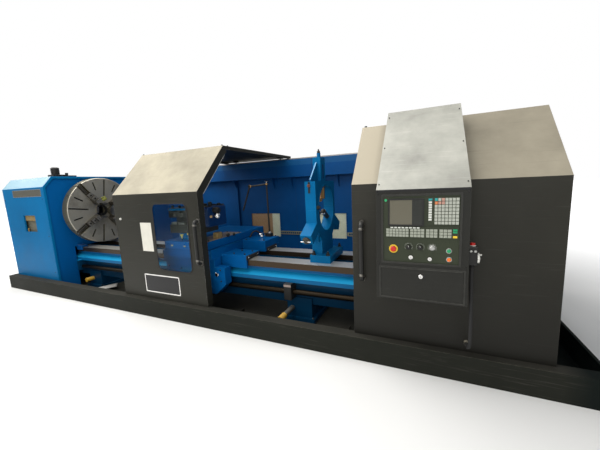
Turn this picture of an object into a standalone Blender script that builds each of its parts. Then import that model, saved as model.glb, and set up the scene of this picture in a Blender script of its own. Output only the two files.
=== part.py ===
# Heavy flat-bed turning lathe with sliding guard doors. Metres, +Z up.
# X runs along the bed from the headstock to the tailstock, the operator stands on the -Y side,
# and the origin is the middle of the chip tray's underside.

import math

import bmesh
import bpy
from mathutils import Matrix, Vector

# Clearances
GAP = 0.0003
RUNNING_GAP = 0.0008

# Chip tray
TRAY_LENGTH = 7.96
TRAY_DEPTH = 2.50
TRAY_HEIGHT = 0.22
TRAY_SHEET = 0.010
TRAY_LONG_LIP = 0.11
TRAY_END_LIP = 0.024
TRAY_RIB_X = (0.70, 2.08)
TRAY_RIB_HEIGHT = 0.04

# Spindle line and bed
SPINDLE_Y = -0.42
SPINDLE_Z = 1.30
WAY_TOP = 0.70
BED_WIDTH = 0.70
WAY_WIDTH = 0.20
WAY_DEPTH = 0.072
WAY_INNER_DROP = 0.01
BED_WALL_OUT = 0.30
BED_WALL_IN = 0.18
BED_LEDGE_OUT = 0.38
BED_LEDGE_TOP = 0.573
BED_LEDGE_EDGE = 0.529
BED_LEDGE_BOTTOM = 0.481
BED_WALL_BOTTOM = 0.215
BED_LEFT = -3.85
BED_RIGHT = 3.70
BED_RIB_SPACING = 0.95
BED_RIB_THICK = 0.030
BED_RIB_INSET = 0.015
FOOT_FIRST_X = -2.33
FOOT_SPACING = 1.91
FOOT_COUNT = 4
HEAD_FOOT_X = -3.60
FOOT_HALF_LENGTH = 0.155
FOOT_HALF_DEPTH = 0.33
FOOT_HEIGHT = 0.29
FOOT_FLANGE = 0.04
FOOT_FLANGE_THICK = 0.05

# Lifting bars through the feet
BAR_RADIUS = 0.03
BAR_Z = 0.16
BAR_REAR_Y = 0.20
LEFT_BAR_X = -2.40
LEFT_BAR_FRONT_Y = -0.86
RIGHT_BAR_X = 1.40
RIGHT_BAR_FRONT_Y = -1.075

# Feed screw
SCREW_Y = -0.79
SCREW_Z = 0.372
SCREW_RADIUS = 0.030
SCREW_LEFT = -2.585
SCREW_END_BLOCK = 0.06
SCREW_SUPPORT_X = 1.40
SCREW_SUPPORT_THICK = 0.09
FEED_MOTOR_LENGTH = 0.08
FEED_MOTOR_SIDE = 0.16

# Headstock
HEAD_LEFT = -3.945
HEAD_RIGHT = -2.66
HEAD_FRONT = -1.13
HEAD_REAR = 0.60
HEAD_FRONT_TOP = 1.735
HEAD_CHAMFER_Y = -0.995
HEAD_TOP = 1.898
HEAD_SHEET = 0.004
SIGHT_X = (-3.39, -3.03)
SIGHT_Z = (1.012, 1.285)
HOUSING_LEFT = -3.74
HOUSING_CLEARANCE = 0.06
HOUSING_RIGHT = HEAD_RIGHT - HOUSING_CLEARANCE
HOUSING_HALF_DEPTH = 0.44
HOUSING_TOP = 1.75
HOUSING_WALL = 0.12
BREATHER_INSET = 0.13
BREATHER_X = HEAD_RIGHT - BREATHER_INSET
BREATHER_Y = -0.86
BREATHER_RADIUS = 0.055
BREATHER_HEIGHT = 0.142

# Spindle, belt drive and chuck
SHAFT_LEFT = -3.88
SHAFT_RADIUS = 0.130
SHAFT_BORE = 0.065
SHAFT_FLANGE = 0.19
SHAFT_FLANGE_THICK = 0.06
BEARING_OUTER = 0.19
PULLEY_LEFT = -3.855
PULLEY_WIDTH = 0.085
SPINDLE_PULLEY_RADIUS = 0.22
MOTOR_PULLEY_RADIUS = 0.11
BELT_WIDTH = 0.06
BELT_THICK = 0.012
BELT_SLACK = 0.0012
MOTOR_Y = 0.36
MOTOR_Z = 0.62
MOTOR_RADIUS = 0.18
MOTOR_LENGTH = 0.62
MOTOR_SHAFT_RADIUS = 0.030
NOSE_LENGTH = 0.12
CHUCK_THICK = 0.15
CHUCK_FACE_X = HEAD_RIGHT + NOSE_LENGTH + CHUCK_THICK
CHUCK_RADIUS = 0.56
CHUCK_BORE = 0.10
CHUCK_HUB = 0.15
JAW_COUNT = 4
JAW_FIRST_ANGLE = 127.0
JAW_WIDTH = 0.090
JAW_SLOT_DEPTH = 0.06
JAW_INNER = 0.17
JAW_LENGTH = 0.20
JAW_STEP = 0.035
TEE_SLOT_WIDTH = 0.022
TEE_SLOT_INNER = 0.25
TEE_SLOT_OUTER = 0.545
SHORT_SLOT_ANGLE = 22.0
SHORT_SLOT_INNER = 0.36
SHORT_SLOT_OUTER = 0.50

# Carriage
SADDLE_LEFT = -0.57
SADDLE_RIGHT = 0.83
SADDLE_WING_TOP = 0.76
SADDLE_LIP_BOTTOM = 0.60
SADDLE_LIP = 0.03
SADDLE_WING = 0.27
SADDLE_PAD_LEFT = 0.46
SADDLE_PAD_TOP = 0.845
SADDLE_PAD_REAR = 0.06
BRIDGE_MARGIN = 0.03
BRIDGE_BOTTOM = 0.735
SLIDE_LEFT = -0.26
SLIDE_RIGHT = 0.44
SLIDE_FRONT = -1.02
SLIDE_REAR = 0.28
SLIDE_BOTTOM = 0.85
SLIDE_TOP = 0.95
APRON_LEFT = -0.35
APRON_SHOULDER = 0.47
APRON_RIGHT = 0.61
APRON_SHOULDER_Z = 0.63
APRON_FRONT = -0.95
APRON_REAR = -0.83
APRON_SIDE_BOTTOM = 0.42
APRON_BOTTOM = 0.288
APRON_TAPER = 0.15
NUT_LEFT = -0.10
NUT_RIGHT = 0.12
NUT_HALF = 0.043

# Turret
TURRET_X = -0.03
TURRET_Y = -0.75
TURRET_SIDE = 0.38
TURRET_BASE_RADIUS = 0.17
TURRET_BOTTOM = 1.04
TURRET_TOP = 1.36
TOOL_SLOT_HEIGHT = 0.09
TOOL_SLOT_DEPTH = 0.06
TOOL_SLOT_BOTTOM = 1.15

# Coolant pipe
COOLANT_X = 0.71
COOLANT_Y = 0.0
COOLANT_TOP = 1.59
COOLANT_RADIUS = 0.012
COOLANT_BASE = 0.07
COOLANT_ELBOW = (0.50, -0.12, 1.588)
COOLANT_TIP = (0.37, -0.12, 1.265)
COOLANT_JOINT = 0.019

# Steady rest
STEADY_LEFT = 1.63
STEADY_THICK = 0.12
STEADY_FRONT = -0.77
STEADY_REAR = -0.10
STEADY_BORE = 0.26
STEADY_SHOULDER = 1.61
STEADY_SIDE_BOTTOM = 1.10
STEADY_WAIST_TOP = 0.95
STEADY_WAIST_HALF = 0.20
STEADY_BASE_LEFT = 1.62
STEADY_BASE_RIGHT = 1.86
STEADY_BASE_TOP = 0.785
STEADY_BASE_HALF = 0.26
STEADY_COLUMN_HALF = 0.08
STEADY_COLUMN_THICK = 0.09
STEADY_COLUMN_TOP = 1.88
STEADY_RIB_HALF = 0.006
STEADY_RIB_REACH = 0.22
STEADY_RIB_TOP = 1.82
STEADY_QUILL_RADIUS = 0.030
STEADY_TIP = 0.07
STEADY_QUILL_LENGTH = 0.34
STEADY_HOLE_REACH = 0.50
STEADY_ARM_REACH = 0.58
STEADY_ARM_HALF = 0.058
STEADY_ARM_ANGLE = 120.0
STEADY_HINGE_RADIUS = 0.0097
STEADY_KNOB_RADIUS = 0.022
STEADY_KNOB_HEIGHT = 0.05

# Tailstock
TAIL_LEFT = 2.85
TAIL_LENGTH = 0.64
TAIL_BASE_HALF = 0.36
TAIL_BASE_TOP = 0.86
TAIL_BODY_HALF = 0.24
TAIL_BARREL_RADIUS = 0.20
TAIL_QUILL_RADIUS = 0.09
TAIL_QUILL_NOSE = 2.72
TAIL_QUILL_LENGTH = 0.62
CENTRE_RADIUS = 0.045
CENTRE_LENGTH = 0.17

# Sliding doors
DOOR_WIDTH = 1.44
DOOR_FRONT = -1.18
DOOR_FRONT_TOP = 1.562
DOOR_ROOF_FRONT = -0.671
DOOR_ROOF_REAR = 1.27
DOOR_TOP = 2.105
DOOR_SHEET = 0.003
DOOR_FRAME_DEPTH = 0.045
DOOR_SIDE_DEPTH = 0.09
DOOR_FRAME_WIDTH = 0.03
LEFT_DOOR_X = -0.921
RIGHT_DOOR_X = 2.233
VIEW_X = (-0.205, 0.335)
VIEW_Z = (0.62, 1.43)
VIEW_RADIUS = 0.06
HANDLE_RADIUS = 0.020
HANDLE_STAND = 0.055
LEFT_HANDLE_X = 0.49
RIGHT_HANDLE_X = 2.318
HANDLE_Z = (0.75, 1.235)

# Rear guard, whose rail carries the doors' rear edge
GUARD_LEFT = -2.655
GUARD_RIGHT = 3.70
GUARD_Y = 1.20
GUARD_FRONT = 1.08
RAIL_HEIGHT = 0.03
GUARD_TOP = DOOR_TOP - DOOR_FRAME_DEPTH - RAIL_HEIGHT
GUARD_BEAM_HEIGHT = 0.31
GUARD_BEAM_BOTTOM = GUARD_TOP - GUARD_BEAM_HEIGHT
GUARD_SHEET = 0.004
GUARD_WINDOWS = {"left": (-0.385, 0.255), "right": (1.03, 1.56)}
GUARD_WINDOW_Z = (0.60, 1.05)
PANE_THICK = 0.005
PANE_MARGIN = 0.015
RAIL_Y = 1.19
RAIL_WIDTH = 0.03

# Control box on the right door
BOX_X = (2.467, 3.087)
BOX_Z = (0.675, 1.514)
BOX_FRONT = -1.38
BOX_SHEET = 0.003
PANEL_X = (2.515, 3.030)
PANEL_Z = (0.970, 1.470)
PANEL_MARGIN = 0.012
PANEL_THICK = 0.005
SCREEN_X = (2.555, 2.800)
SCREEN_Z = (1.247, 1.447)
KEYS_X = (2.825, 3.020)
KEYS_Z = (1.258, 1.450)
MACHINE_KEYS_X = (2.535, 3.020)
MACHINE_KEYS_Z = (1.158, 1.240)
KEYS_RISE = 0.005
E_STOP = (2.592, 1.072)
E_STOP_RADIUS = 0.021
START_BUTTON = (2.964, 1.072)
STOP_BUTTON = (2.966, 1.010)
BUTTON_RADIUS = 0.014
BUTTON_SHANK = 0.0065
DIALS = {"feed_dial": (2.699, 1.090), "speed_dial": (2.778, 1.090), "mode_selector": (2.857, 1.090)}
DIAL_RADIUS = 0.016
DIAL_RISE = 0.022
FLAP_X = (2.500, 3.060)
FLAP_Z = (0.692, 0.925)
FLAP_GAP = 0.0008
HOOD_TOP_FRONT = -0.85
HOOD_TOP_REAR = -0.76
HOOD_RISE = 0.065
HOOD_TOP = DOOR_TOP + HOOD_RISE
HOOD_TAPER = 0.03

# Hand pendant beside the control box
PENDANT_X = (3.0873, 3.145)
PENDANT_Y = (-1.335, -1.265)
PENDANT_Z = (0.965, 1.100)
WHEEL_Z = 1.014
WHEEL_RADIUS = 0.037
WHEEL_THICK = 0.014
PENDANT_STOP_RADIUS = 0.016
CABLE_RADIUS = 0.012
CABLE_DROP = 0.24
CABLE_BELLY = 0.25
CABLE_POINTS = 15
GLAND_Z = 0.30
GLAND_LENGTH = 0.030
GLAND_STRAIGHT = 0.010
GLAND_RADIUS = 0.018

COLOURS = {
    "blue_paint": ((0.010, 0.130, 0.420), 0.40, 0.0),
    "dark_paint": ((0.045, 0.045, 0.040), 0.50, 0.0),
    "ground_steel": ((0.56, 0.55, 0.52), 0.30, 1.0),
    "cast_steel": ((0.30, 0.29, 0.27), 0.45, 1.0),
    "turret_iron": ((0.09, 0.09, 0.08), 0.45, 0.6),
    "screw_steel": ((0.30, 0.24, 0.18), 0.40, 1.0),
    "black_plastic": ((0.015, 0.015, 0.015), 0.45, 0.0),
    "clear_pane": ((0.75, 0.82, 0.85), 0.10, 0.0),
    "panel_grey": ((0.060, 0.065, 0.055), 0.50, 0.0),
    "red_plastic": ((0.60, 0.02, 0.02), 0.35, 0.0),
    "green_plastic": ((0.01, 0.28, 0.10), 0.35, 0.0),
    "orange_plastic": ((0.80, 0.16, 0.02), 0.35, 0.0),
    "silver_plastic": ((0.45, 0.45, 0.43), 0.35, 0.5),
    "white_plastic": ((0.80, 0.79, 0.74), 0.40, 0.0),
    "belt_rubber": ((0.020, 0.020, 0.020), 0.80, 0.0),
    "motor_grey": ((0.20, 0.22, 0.22), 0.50, 0.0),
}

PLANES = {
    "YZ": Matrix(((0, 0, 1, 0), (1, 0, 0, 0), (0, 1, 0, 0), (0, 0, 0, 1))),
    "XZ": Matrix(((1, 0, 0, 0), (0, 0, -1, 0), (0, 1, 0, 0), (0, 0, 0, 1))),
    "XY": Matrix.Identity(4),
}

COLLECTIONS = {}
MATERIALS = {}


def clear_scene():
    for item in list(bpy.data.objects):
        bpy.data.objects.remove(item, do_unlink=True)
    for name in ("turning_lathe", "cutters"):
        group = bpy.data.collections.new(name)
        bpy.context.scene.collection.children.link(group)
        COLLECTIONS[name] = group


def material(name):
    if name not in MATERIALS:
        colour, roughness, metallic = COLOURS[name]
        made = bpy.data.materials.new(name)
        made.use_nodes = True
        shader = made.node_tree.nodes["Principled BSDF"]
        shader.inputs["Base Color"].default_value = (*colour, 1.0)
        shader.inputs["Roughness"].default_value = roughness
        shader.inputs["Metallic"].default_value = metallic
        made.diffuse_color = (*colour, 1.0)
        MATERIALS[name] = made
    return MATERIALS[name]


def add(name, data, finish):
    made = bpy.data.objects.new(name, data)
    COLLECTIONS["turning_lathe"].objects.link(made)
    data.materials.clear()
    data.materials.append(material(finish))
    return made


def block(name, low, high, finish="blue_paint"):
    shape = bmesh.new()
    bmesh.ops.create_cube(shape, size=1.0)
    size = [b - a for a, b in zip(low, high)]
    centre = [(a + b) / 2 for a, b in zip(low, high)]
    bmesh.ops.scale(shape, vec=size, verts=shape.verts)
    bmesh.ops.translate(shape, vec=centre, verts=shape.verts)
    data = bpy.data.meshes.new(name)
    shape.to_mesh(data)
    shape.free()
    return add(name, data, finish)


def rod(name, start, end, radius, finish="blue_paint", segments=24, end_radius=None):
    start, end = Vector(start), Vector(end)
    turn = (end - start).to_track_quat("Z", "Y").to_matrix().to_4x4()
    place = Matrix.Translation((start + end) / 2) @ turn
    shape = bmesh.new()
    bmesh.ops.create_cone(shape, cap_ends=True, segments=segments, radius1=radius,
                          radius2=radius if end_radius is None else end_radius,
                          depth=(end - start).length, matrix=place)
    data = bpy.data.meshes.new(name)
    shape.to_mesh(data)
    shape.free()
    made = add(name, data, finish)
    smooth(made)
    return made


def smooth(item):
    item.data.shade_smooth()
    item.data.set_sharp_from_angle(angle=math.radians(35))


def outline(name, points, plane, low, high, finish="blue_paint"):
    curve = bpy.data.curves.new(name + "_outline", "CURVE")
    curve.dimensions = "2D"
    curve.fill_mode = "BOTH"
    curve.extrude = (high - low) / 2
    line = curve.splines.new("POLY")
    line.points.add(len(points) - 1)
    for spot, (a, b) in zip(line.points, points):
        spot.co = (a, b, 0.0, 1.0)
    line.use_cyclic_u = True
    guide = bpy.data.objects.new(name + "_outline", curve)
    bpy.context.scene.collection.objects.link(guide)
    bpy.context.view_layer.update()
    seen = guide.evaluated_get(bpy.context.evaluated_depsgraph_get())
    data = bpy.data.meshes.new_from_object(seen)
    data.name = name
    bpy.data.objects.remove(guide, do_unlink=True)
    middle = {"YZ": ((low + high) / 2, 0, 0), "XZ": (0, (low + high) / 2, 0), "XY": (0, 0, (low + high) / 2)}
    shape = bmesh.new()
    shape.from_mesh(data)
    bmesh.ops.remove_doubles(shape, verts=shape.verts, dist=0.00001)
    bmesh.ops.transform(shape, matrix=Matrix.Translation(middle[plane]) @ PLANES[plane], verts=shape.verts)
    bmesh.ops.recalc_face_normals(shape, faces=shape.faces)
    shape.to_mesh(data)
    shape.free()
    return add(name, data, finish)


def turned(name, profile, start, along, finish="ground_steel", steps=32, closed=False):
    # The profile is (radius, distance along the axis), and runs from the far end back to the start.
    data = bpy.data.meshes.new(name)
    count = len(profile)
    edges = [(i, i + 1) for i in range(count - 1)]
    if closed:
        edges.append((count - 1, 0))
    data.from_pydata([(r, 0.0, h) for r, h in profile], edges, [])
    made = add(name, data, finish)
    turn = Vector(along).to_track_quat("Z", "Y").to_matrix().to_4x4()
    made.matrix_world = Matrix.Translation(start) @ turn
    screw = made.modifiers.new("turn", "SCREW")
    screw.axis = "Z"
    screw.steps = steps
    screw.render_steps = steps
    screw.use_merge_vertices = True
    screw.merge_threshold = 0.0001
    screw.use_smooth_shade = True
    return made


def tube(name, points, radius, finish, sides=2):
    curve = bpy.data.curves.new(name, "CURVE")
    curve.dimensions = "3D"
    curve.bevel_depth = radius
    curve.bevel_resolution = sides
    curve.use_fill_caps = True
    line = curve.splines.new("POLY")
    line.points.add(len(points) - 1)
    for spot, point in zip(line.points, points):
        spot.co = (*point, 1.0)
    return add(name, curve, finish)


def solve(base, tool, operation):
    step = base.modifiers.new(operation.lower(), "BOOLEAN")
    step.operation = operation
    step.solver = "EXACT"
    step.object = tool
    COLLECTIONS["turning_lathe"].objects.unlink(tool)
    COLLECTIONS["cutters"].objects.link(tool)
    tool.hide_render = True
    tool.display_type = "WIRE"


def cut(base, *tools):
    for tool in tools:
        solve(base, tool, "DIFFERENCE")
    return base


def fuse(base, *tools):
    for tool in tools:
        solve(base, tool, "UNION")
    return base


def pivot(name, place, *items):
    hub = bpy.data.objects.new(name, None)
    COLLECTIONS["turning_lathe"].objects.link(hub)
    hub.location = place
    hub.empty_display_size = 0.05
    bpy.context.view_layer.update()
    for item in items:
        item.parent = hub
        item.matrix_parent_inverse = hub.matrix_world.inverted()
    return hub


def arc(centre, radius, start, end, steps):
    spots = []
    for i in range(steps + 1):
        angle = math.radians(start + (end - start) * i / steps)
        spots.append((centre[0] + radius * math.cos(angle), centre[1] + radius * math.sin(angle)))
    return spots


def rounded(low, high, radius, steps=4):
    corners = (
        ((high[0] - radius, high[1] - radius), 0),
        ((low[0] + radius, high[1] - radius), 90),
        ((low[0] + radius, low[1] + radius), 180),
        ((high[0] - radius, low[1] + radius), 270),
    )
    spots = []
    for centre, angle in corners:
        spots += arc(centre, radius, angle, angle + 90, steps)
    return spots


def radial(angle, radius, height=0.0):
    # A point at an angle round the spindle line, from +Y towards +Z, offset sideways by height.
    turn = math.radians(angle)
    return (SPINDLE_Y + radius * math.cos(turn) - height * math.sin(turn),
            SPINDLE_Z + radius * math.sin(turn) + height * math.cos(turn))


def chip_tray():
    half_x, half_y = TRAY_LENGTH / 2, TRAY_DEPTH / 2
    tray = block("chip_tray", (-half_x, -half_y, 0), (half_x, half_y, TRAY_HEIGHT), "dark_paint")
    mouth = block("tray_mouth", (-half_x + TRAY_END_LIP, -half_y + TRAY_LONG_LIP, TRAY_SHEET),
                  (half_x - TRAY_END_LIP, half_y - TRAY_LONG_LIP, TRAY_HEIGHT + 0.1))
    room = block("tray_room", (-half_x + TRAY_SHEET, -half_y + TRAY_SHEET, TRAY_SHEET),
                 (half_x - TRAY_SHEET, half_y - TRAY_SHEET, TRAY_HEIGHT - TRAY_SHEET))
    cut(tray, mouth, room)
    for number, rib_x in enumerate(TRAY_RIB_X):
        rib = block(f"tray_rib_{number}", (rib_x, -half_y + TRAY_SHEET / 2, TRAY_SHEET / 2),
                    (rib_x + TRAY_SHEET, SPINDLE_Y - FOOT_HALF_DEPTH, TRAY_SHEET + TRAY_RIB_HEIGHT))
        fuse(tray, rib)
    return tray


def bed_wall(side):
    shape = (
        (BED_WIDTH / 2, WAY_TOP),
        (BED_WIDTH / 2, WAY_TOP - WAY_DEPTH),
        (BED_WALL_OUT - 0.02, WAY_TOP - WAY_DEPTH),
        (BED_WALL_OUT - 0.02, BED_LEDGE_TOP),
        (BED_LEDGE_OUT, BED_LEDGE_EDGE),
        (BED_LEDGE_OUT, BED_LEDGE_BOTTOM),
        (BED_WALL_OUT, BED_LEDGE_BOTTOM),
        (BED_WALL_OUT, BED_WALL_BOTTOM),
        (BED_WALL_IN, BED_WALL_BOTTOM),
        (BED_WALL_IN, WAY_TOP - WAY_DEPTH - WAY_INNER_DROP),
        (BED_WIDTH / 2 - WAY_WIDTH, WAY_TOP - WAY_DEPTH + WAY_INNER_DROP),
        (BED_WIDTH / 2 - WAY_WIDTH, WAY_TOP),
    )
    points = [(SPINDLE_Y + side * out, z) for out, z in shape]
    return points if side > 0 else points[::-1]


def foot_places():
    return [HEAD_FOOT_X] + [FOOT_FIRST_X + FOOT_SPACING * i for i in range(FOOT_COUNT)]


def bed():
    made = outline("bed", bed_wall(-1), "YZ", BED_LEFT, BED_RIGHT)
    fuse(made, outline("bed_rear_wall", bed_wall(1), "YZ", BED_LEFT, BED_RIGHT))
    web_low, web_high = 0.30, WAY_TOP - WAY_DEPTH - 0.03
    reach = BED_WALL_IN + 0.02
    count = int((BED_RIGHT - BED_LEFT) / BED_RIB_SPACING)
    for i in range(count + 1):
        left = BED_LEFT + BED_RIB_INSET + (BED_RIGHT - BED_LEFT - BED_RIB_THICK - 2 * BED_RIB_INSET) * i / count
        fuse(made, block(f"bed_rib_{i}", (left, SPINDLE_Y - reach, web_low),
                         (left + BED_RIB_THICK, SPINDLE_Y + reach, web_high)))
    floor = TRAY_SHEET + GAP
    for i, x in enumerate(foot_places()):
        fuse(made, block(f"bed_foot_{i}", (x - FOOT_HALF_LENGTH, SPINDLE_Y - FOOT_HALF_DEPTH, floor + 0.02),
                         (x + FOOT_HALF_LENGTH, SPINDLE_Y + FOOT_HALF_DEPTH, FOOT_HEIGHT)))
        wide, deep = FOOT_HALF_LENGTH + FOOT_FLANGE, FOOT_HALF_DEPTH + FOOT_FLANGE
        fuse(made, block(f"bed_flange_{i}", (x - wide, SPINDLE_Y - deep, floor),
                         (x + wide, SPINDLE_Y + deep, floor + FOOT_FLANGE_THICK)))
    end = block("screw_end_block", (SCREW_LEFT - SCREW_END_BLOCK / 2, SCREW_Y - 0.06, SCREW_Z - 0.06),
                (SCREW_LEFT + SCREW_END_BLOCK / 2, SPINDLE_Y - BED_WALL_OUT + 0.02, BED_LEDGE_BOTTOM + 0.01))
    fuse(made, end)
    cut(made, rod("screw_end_hole", (SCREW_LEFT - GAP, SCREW_Y, SCREW_Z), (SCREW_LEFT + 0.1, SCREW_Y, SCREW_Z),
                  SCREW_RADIUS + RUNNING_GAP))
    for name, x in (("left", LEFT_BAR_X), ("right", RIGHT_BAR_X)):
        cut(made, rod(f"bar_hole_{name}", (x, -1.5, BAR_Z), (x, 0.5, BAR_Z), BAR_RADIUS + GAP, segments=16))
    return made


def lifting_bars():
    places = (("left", LEFT_BAR_X, LEFT_BAR_FRONT_Y), ("right", RIGHT_BAR_X, RIGHT_BAR_FRONT_Y))
    for name, x, front in places:
        rod(f"lifting_bar_{name}", (x, front, BAR_Z), (x, BAR_REAR_Y, BAR_Z), BAR_RADIUS, "dark_paint", 16)


def feed_drive():
    screw = rod("feed_screw", (SCREW_LEFT, SCREW_Y, SCREW_Z), (BED_RIGHT, SCREW_Y, SCREW_Z), SCREW_RADIUS,
                "screw_steel")
    pivot("feed_screw_axis", (SCREW_LEFT, SCREW_Y, SCREW_Z), screw)
    wall = SPINDLE_Y - BED_WALL_OUT - GAP
    support = block("screw_bracket", (SCREW_SUPPORT_X - SCREW_SUPPORT_THICK / 2, SCREW_Y - 0.07, SCREW_Z - 0.08),
                    (SCREW_SUPPORT_X + SCREW_SUPPORT_THICK / 2, wall, BED_LEDGE_BOTTOM - GAP), "black_plastic")
    cut(support, rod("support_hole", (SCREW_SUPPORT_X - 0.1, SCREW_Y, SCREW_Z),
                     (SCREW_SUPPORT_X + 0.1, SCREW_Y, SCREW_Z), SCREW_RADIUS + RUNNING_GAP))
    face = BED_RIGHT + GAP
    half = FEED_MOTOR_SIDE / 2
    motor = block("feed_motor", (face + 0.03, SCREW_Y - half, SCREW_Z - half),
                  (face + FEED_MOTOR_LENGTH, SCREW_Y + half, SCREW_Z + half), "motor_grey")
    plate = block("feed_motor_plate", (face, SCREW_Y - half - 0.02, SCREW_Z - half - 0.02),
                  (face + 0.04, SPINDLE_Y - BED_WALL_IN, SCREW_Z + half + 0.02))
    fuse(motor, plate)


def offset_profile(front, front_top, slope_top, roof_rear, top, depth, bottom):
    # The guard's section set inwards by a depth: front wall, slope and roof.
    run, rise = slope_top[0] - front, slope_top[1] - front_top
    length = math.hypot(run, rise)
    inset_front = front + depth
    inset_top = top - depth
    slope = rise / run
    drop = depth * length / run
    lower = front_top + slope * (inset_front - front) - drop
    upper_y = front + (inset_top + drop - front_top) / slope
    return [(inset_front, bottom), (roof_rear, bottom), (roof_rear, inset_top), (upper_y, inset_top),
            (inset_front, lower)]


def headstock():
    floor = TRAY_SHEET + GAP
    corner = (HEAD_CHAMFER_Y, HEAD_TOP)
    outer = offset_profile(HEAD_FRONT, HEAD_FRONT_TOP, corner, HEAD_REAR, HEAD_TOP, 0.0, floor)
    cover = outline("headstock_cover", outer, "YZ", HEAD_LEFT, HEAD_RIGHT)
    inner = offset_profile(HEAD_FRONT, HEAD_FRONT_TOP, corner, HEAD_REAR - HEAD_SHEET, HEAD_TOP, HEAD_SHEET,
                           floor - 0.1)
    cut(cover, outline("head_room", inner, "YZ", HEAD_LEFT + HEAD_SHEET, HEAD_RIGHT - HEAD_SHEET))
    side = BED_LEDGE_OUT + 0.02
    cut(cover, block("head_bed_gap", (HEAD_RIGHT - 0.05, SPINDLE_Y - side, -0.1),
                     (HEAD_RIGHT + 0.05, SPINDLE_Y + side, WAY_TOP + 0.02)))
    cut(cover, rod("head_nose_hole", (HEAD_RIGHT - 0.05, SPINDLE_Y, SPINDLE_Z),
                   (HEAD_RIGHT + 0.05, SPINDLE_Y, SPINDLE_Z), SHAFT_FLANGE + 0.01, segments=32))
    cut(cover, block("sight_hole", (SIGHT_X[0], HEAD_FRONT - 0.05, SIGHT_Z[0]),
                     (SIGHT_X[1], HEAD_FRONT + 0.05, SIGHT_Z[1])))
    housing = block("headstock_housing", (HOUSING_LEFT, SPINDLE_Y - HOUSING_HALF_DEPTH, WAY_TOP + GAP),
                    (HOUSING_RIGHT, SPINDLE_Y + HOUSING_HALF_DEPTH, HOUSING_TOP))
    depth = HOUSING_HALF_DEPTH - HOUSING_WALL
    cut(housing, block("housing_room", (HOUSING_LEFT + HOUSING_WALL, SPINDLE_Y - depth, WAY_TOP + HOUSING_WALL),
                       (HOUSING_RIGHT - HOUSING_WALL, SPINDLE_Y + depth, HOUSING_TOP + 0.1)))
    cut(housing, rod("housing_bore", (HOUSING_LEFT - 0.1, SPINDLE_Y, SPINDLE_Z),
                     (HOUSING_RIGHT + 0.1, SPINDLE_Y, SPINDLE_Z), BEARING_OUTER, segments=48))
    for name, left in (("rear", HOUSING_LEFT), ("front", HOUSING_RIGHT - HOUSING_WALL)):
        bearing(f"spindle_bearing_{name}", left)
    breather()


def bearing(name, left):
    inner, outer, width = SHAFT_RADIUS + RUNNING_GAP, BEARING_OUTER - 2 * GAP, HOUSING_WALL
    profile = [(inner, width), (outer, width), (outer, 0.0), (inner, 0.0)]
    turned(name, profile, (left, SPINDLE_Y, SPINDLE_Z), (1, 0, 0), "ground_steel", 48, closed=True)


def breather():
    base = HEAD_TOP + GAP
    radius = BREATHER_RADIUS
    unit = block("oil_breather", (BREATHER_X - 1.5 * radius, BREATHER_Y - 1.3 * radius, base),
                 (BREATHER_X + 1.5 * radius, BREATHER_Y + 2.5 * radius, base + 0.035), "black_plastic")
    fuse(unit, rod("breather_can", (BREATHER_X, BREATHER_Y, base + 0.02),
                   (BREATHER_X, BREATHER_Y, base + BREATHER_HEIGHT), radius, segments=24))


def belt_line(first, second, first_radius, second_radius, steps):
    # The outer line of a band round two wheels, as (y, z) points.
    run, rise = second[0] - first[0], second[1] - first[1]
    length = math.hypot(run, rise)
    heading = math.degrees(math.atan2(rise, run))
    lean = math.degrees(math.acos((first_radius - second_radius) / length))
    near = arc(first, first_radius, heading + lean, heading + 360 - lean, steps)
    far = arc(second, second_radius, heading - lean, heading + lean, steps // 2)
    return near + far


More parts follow.
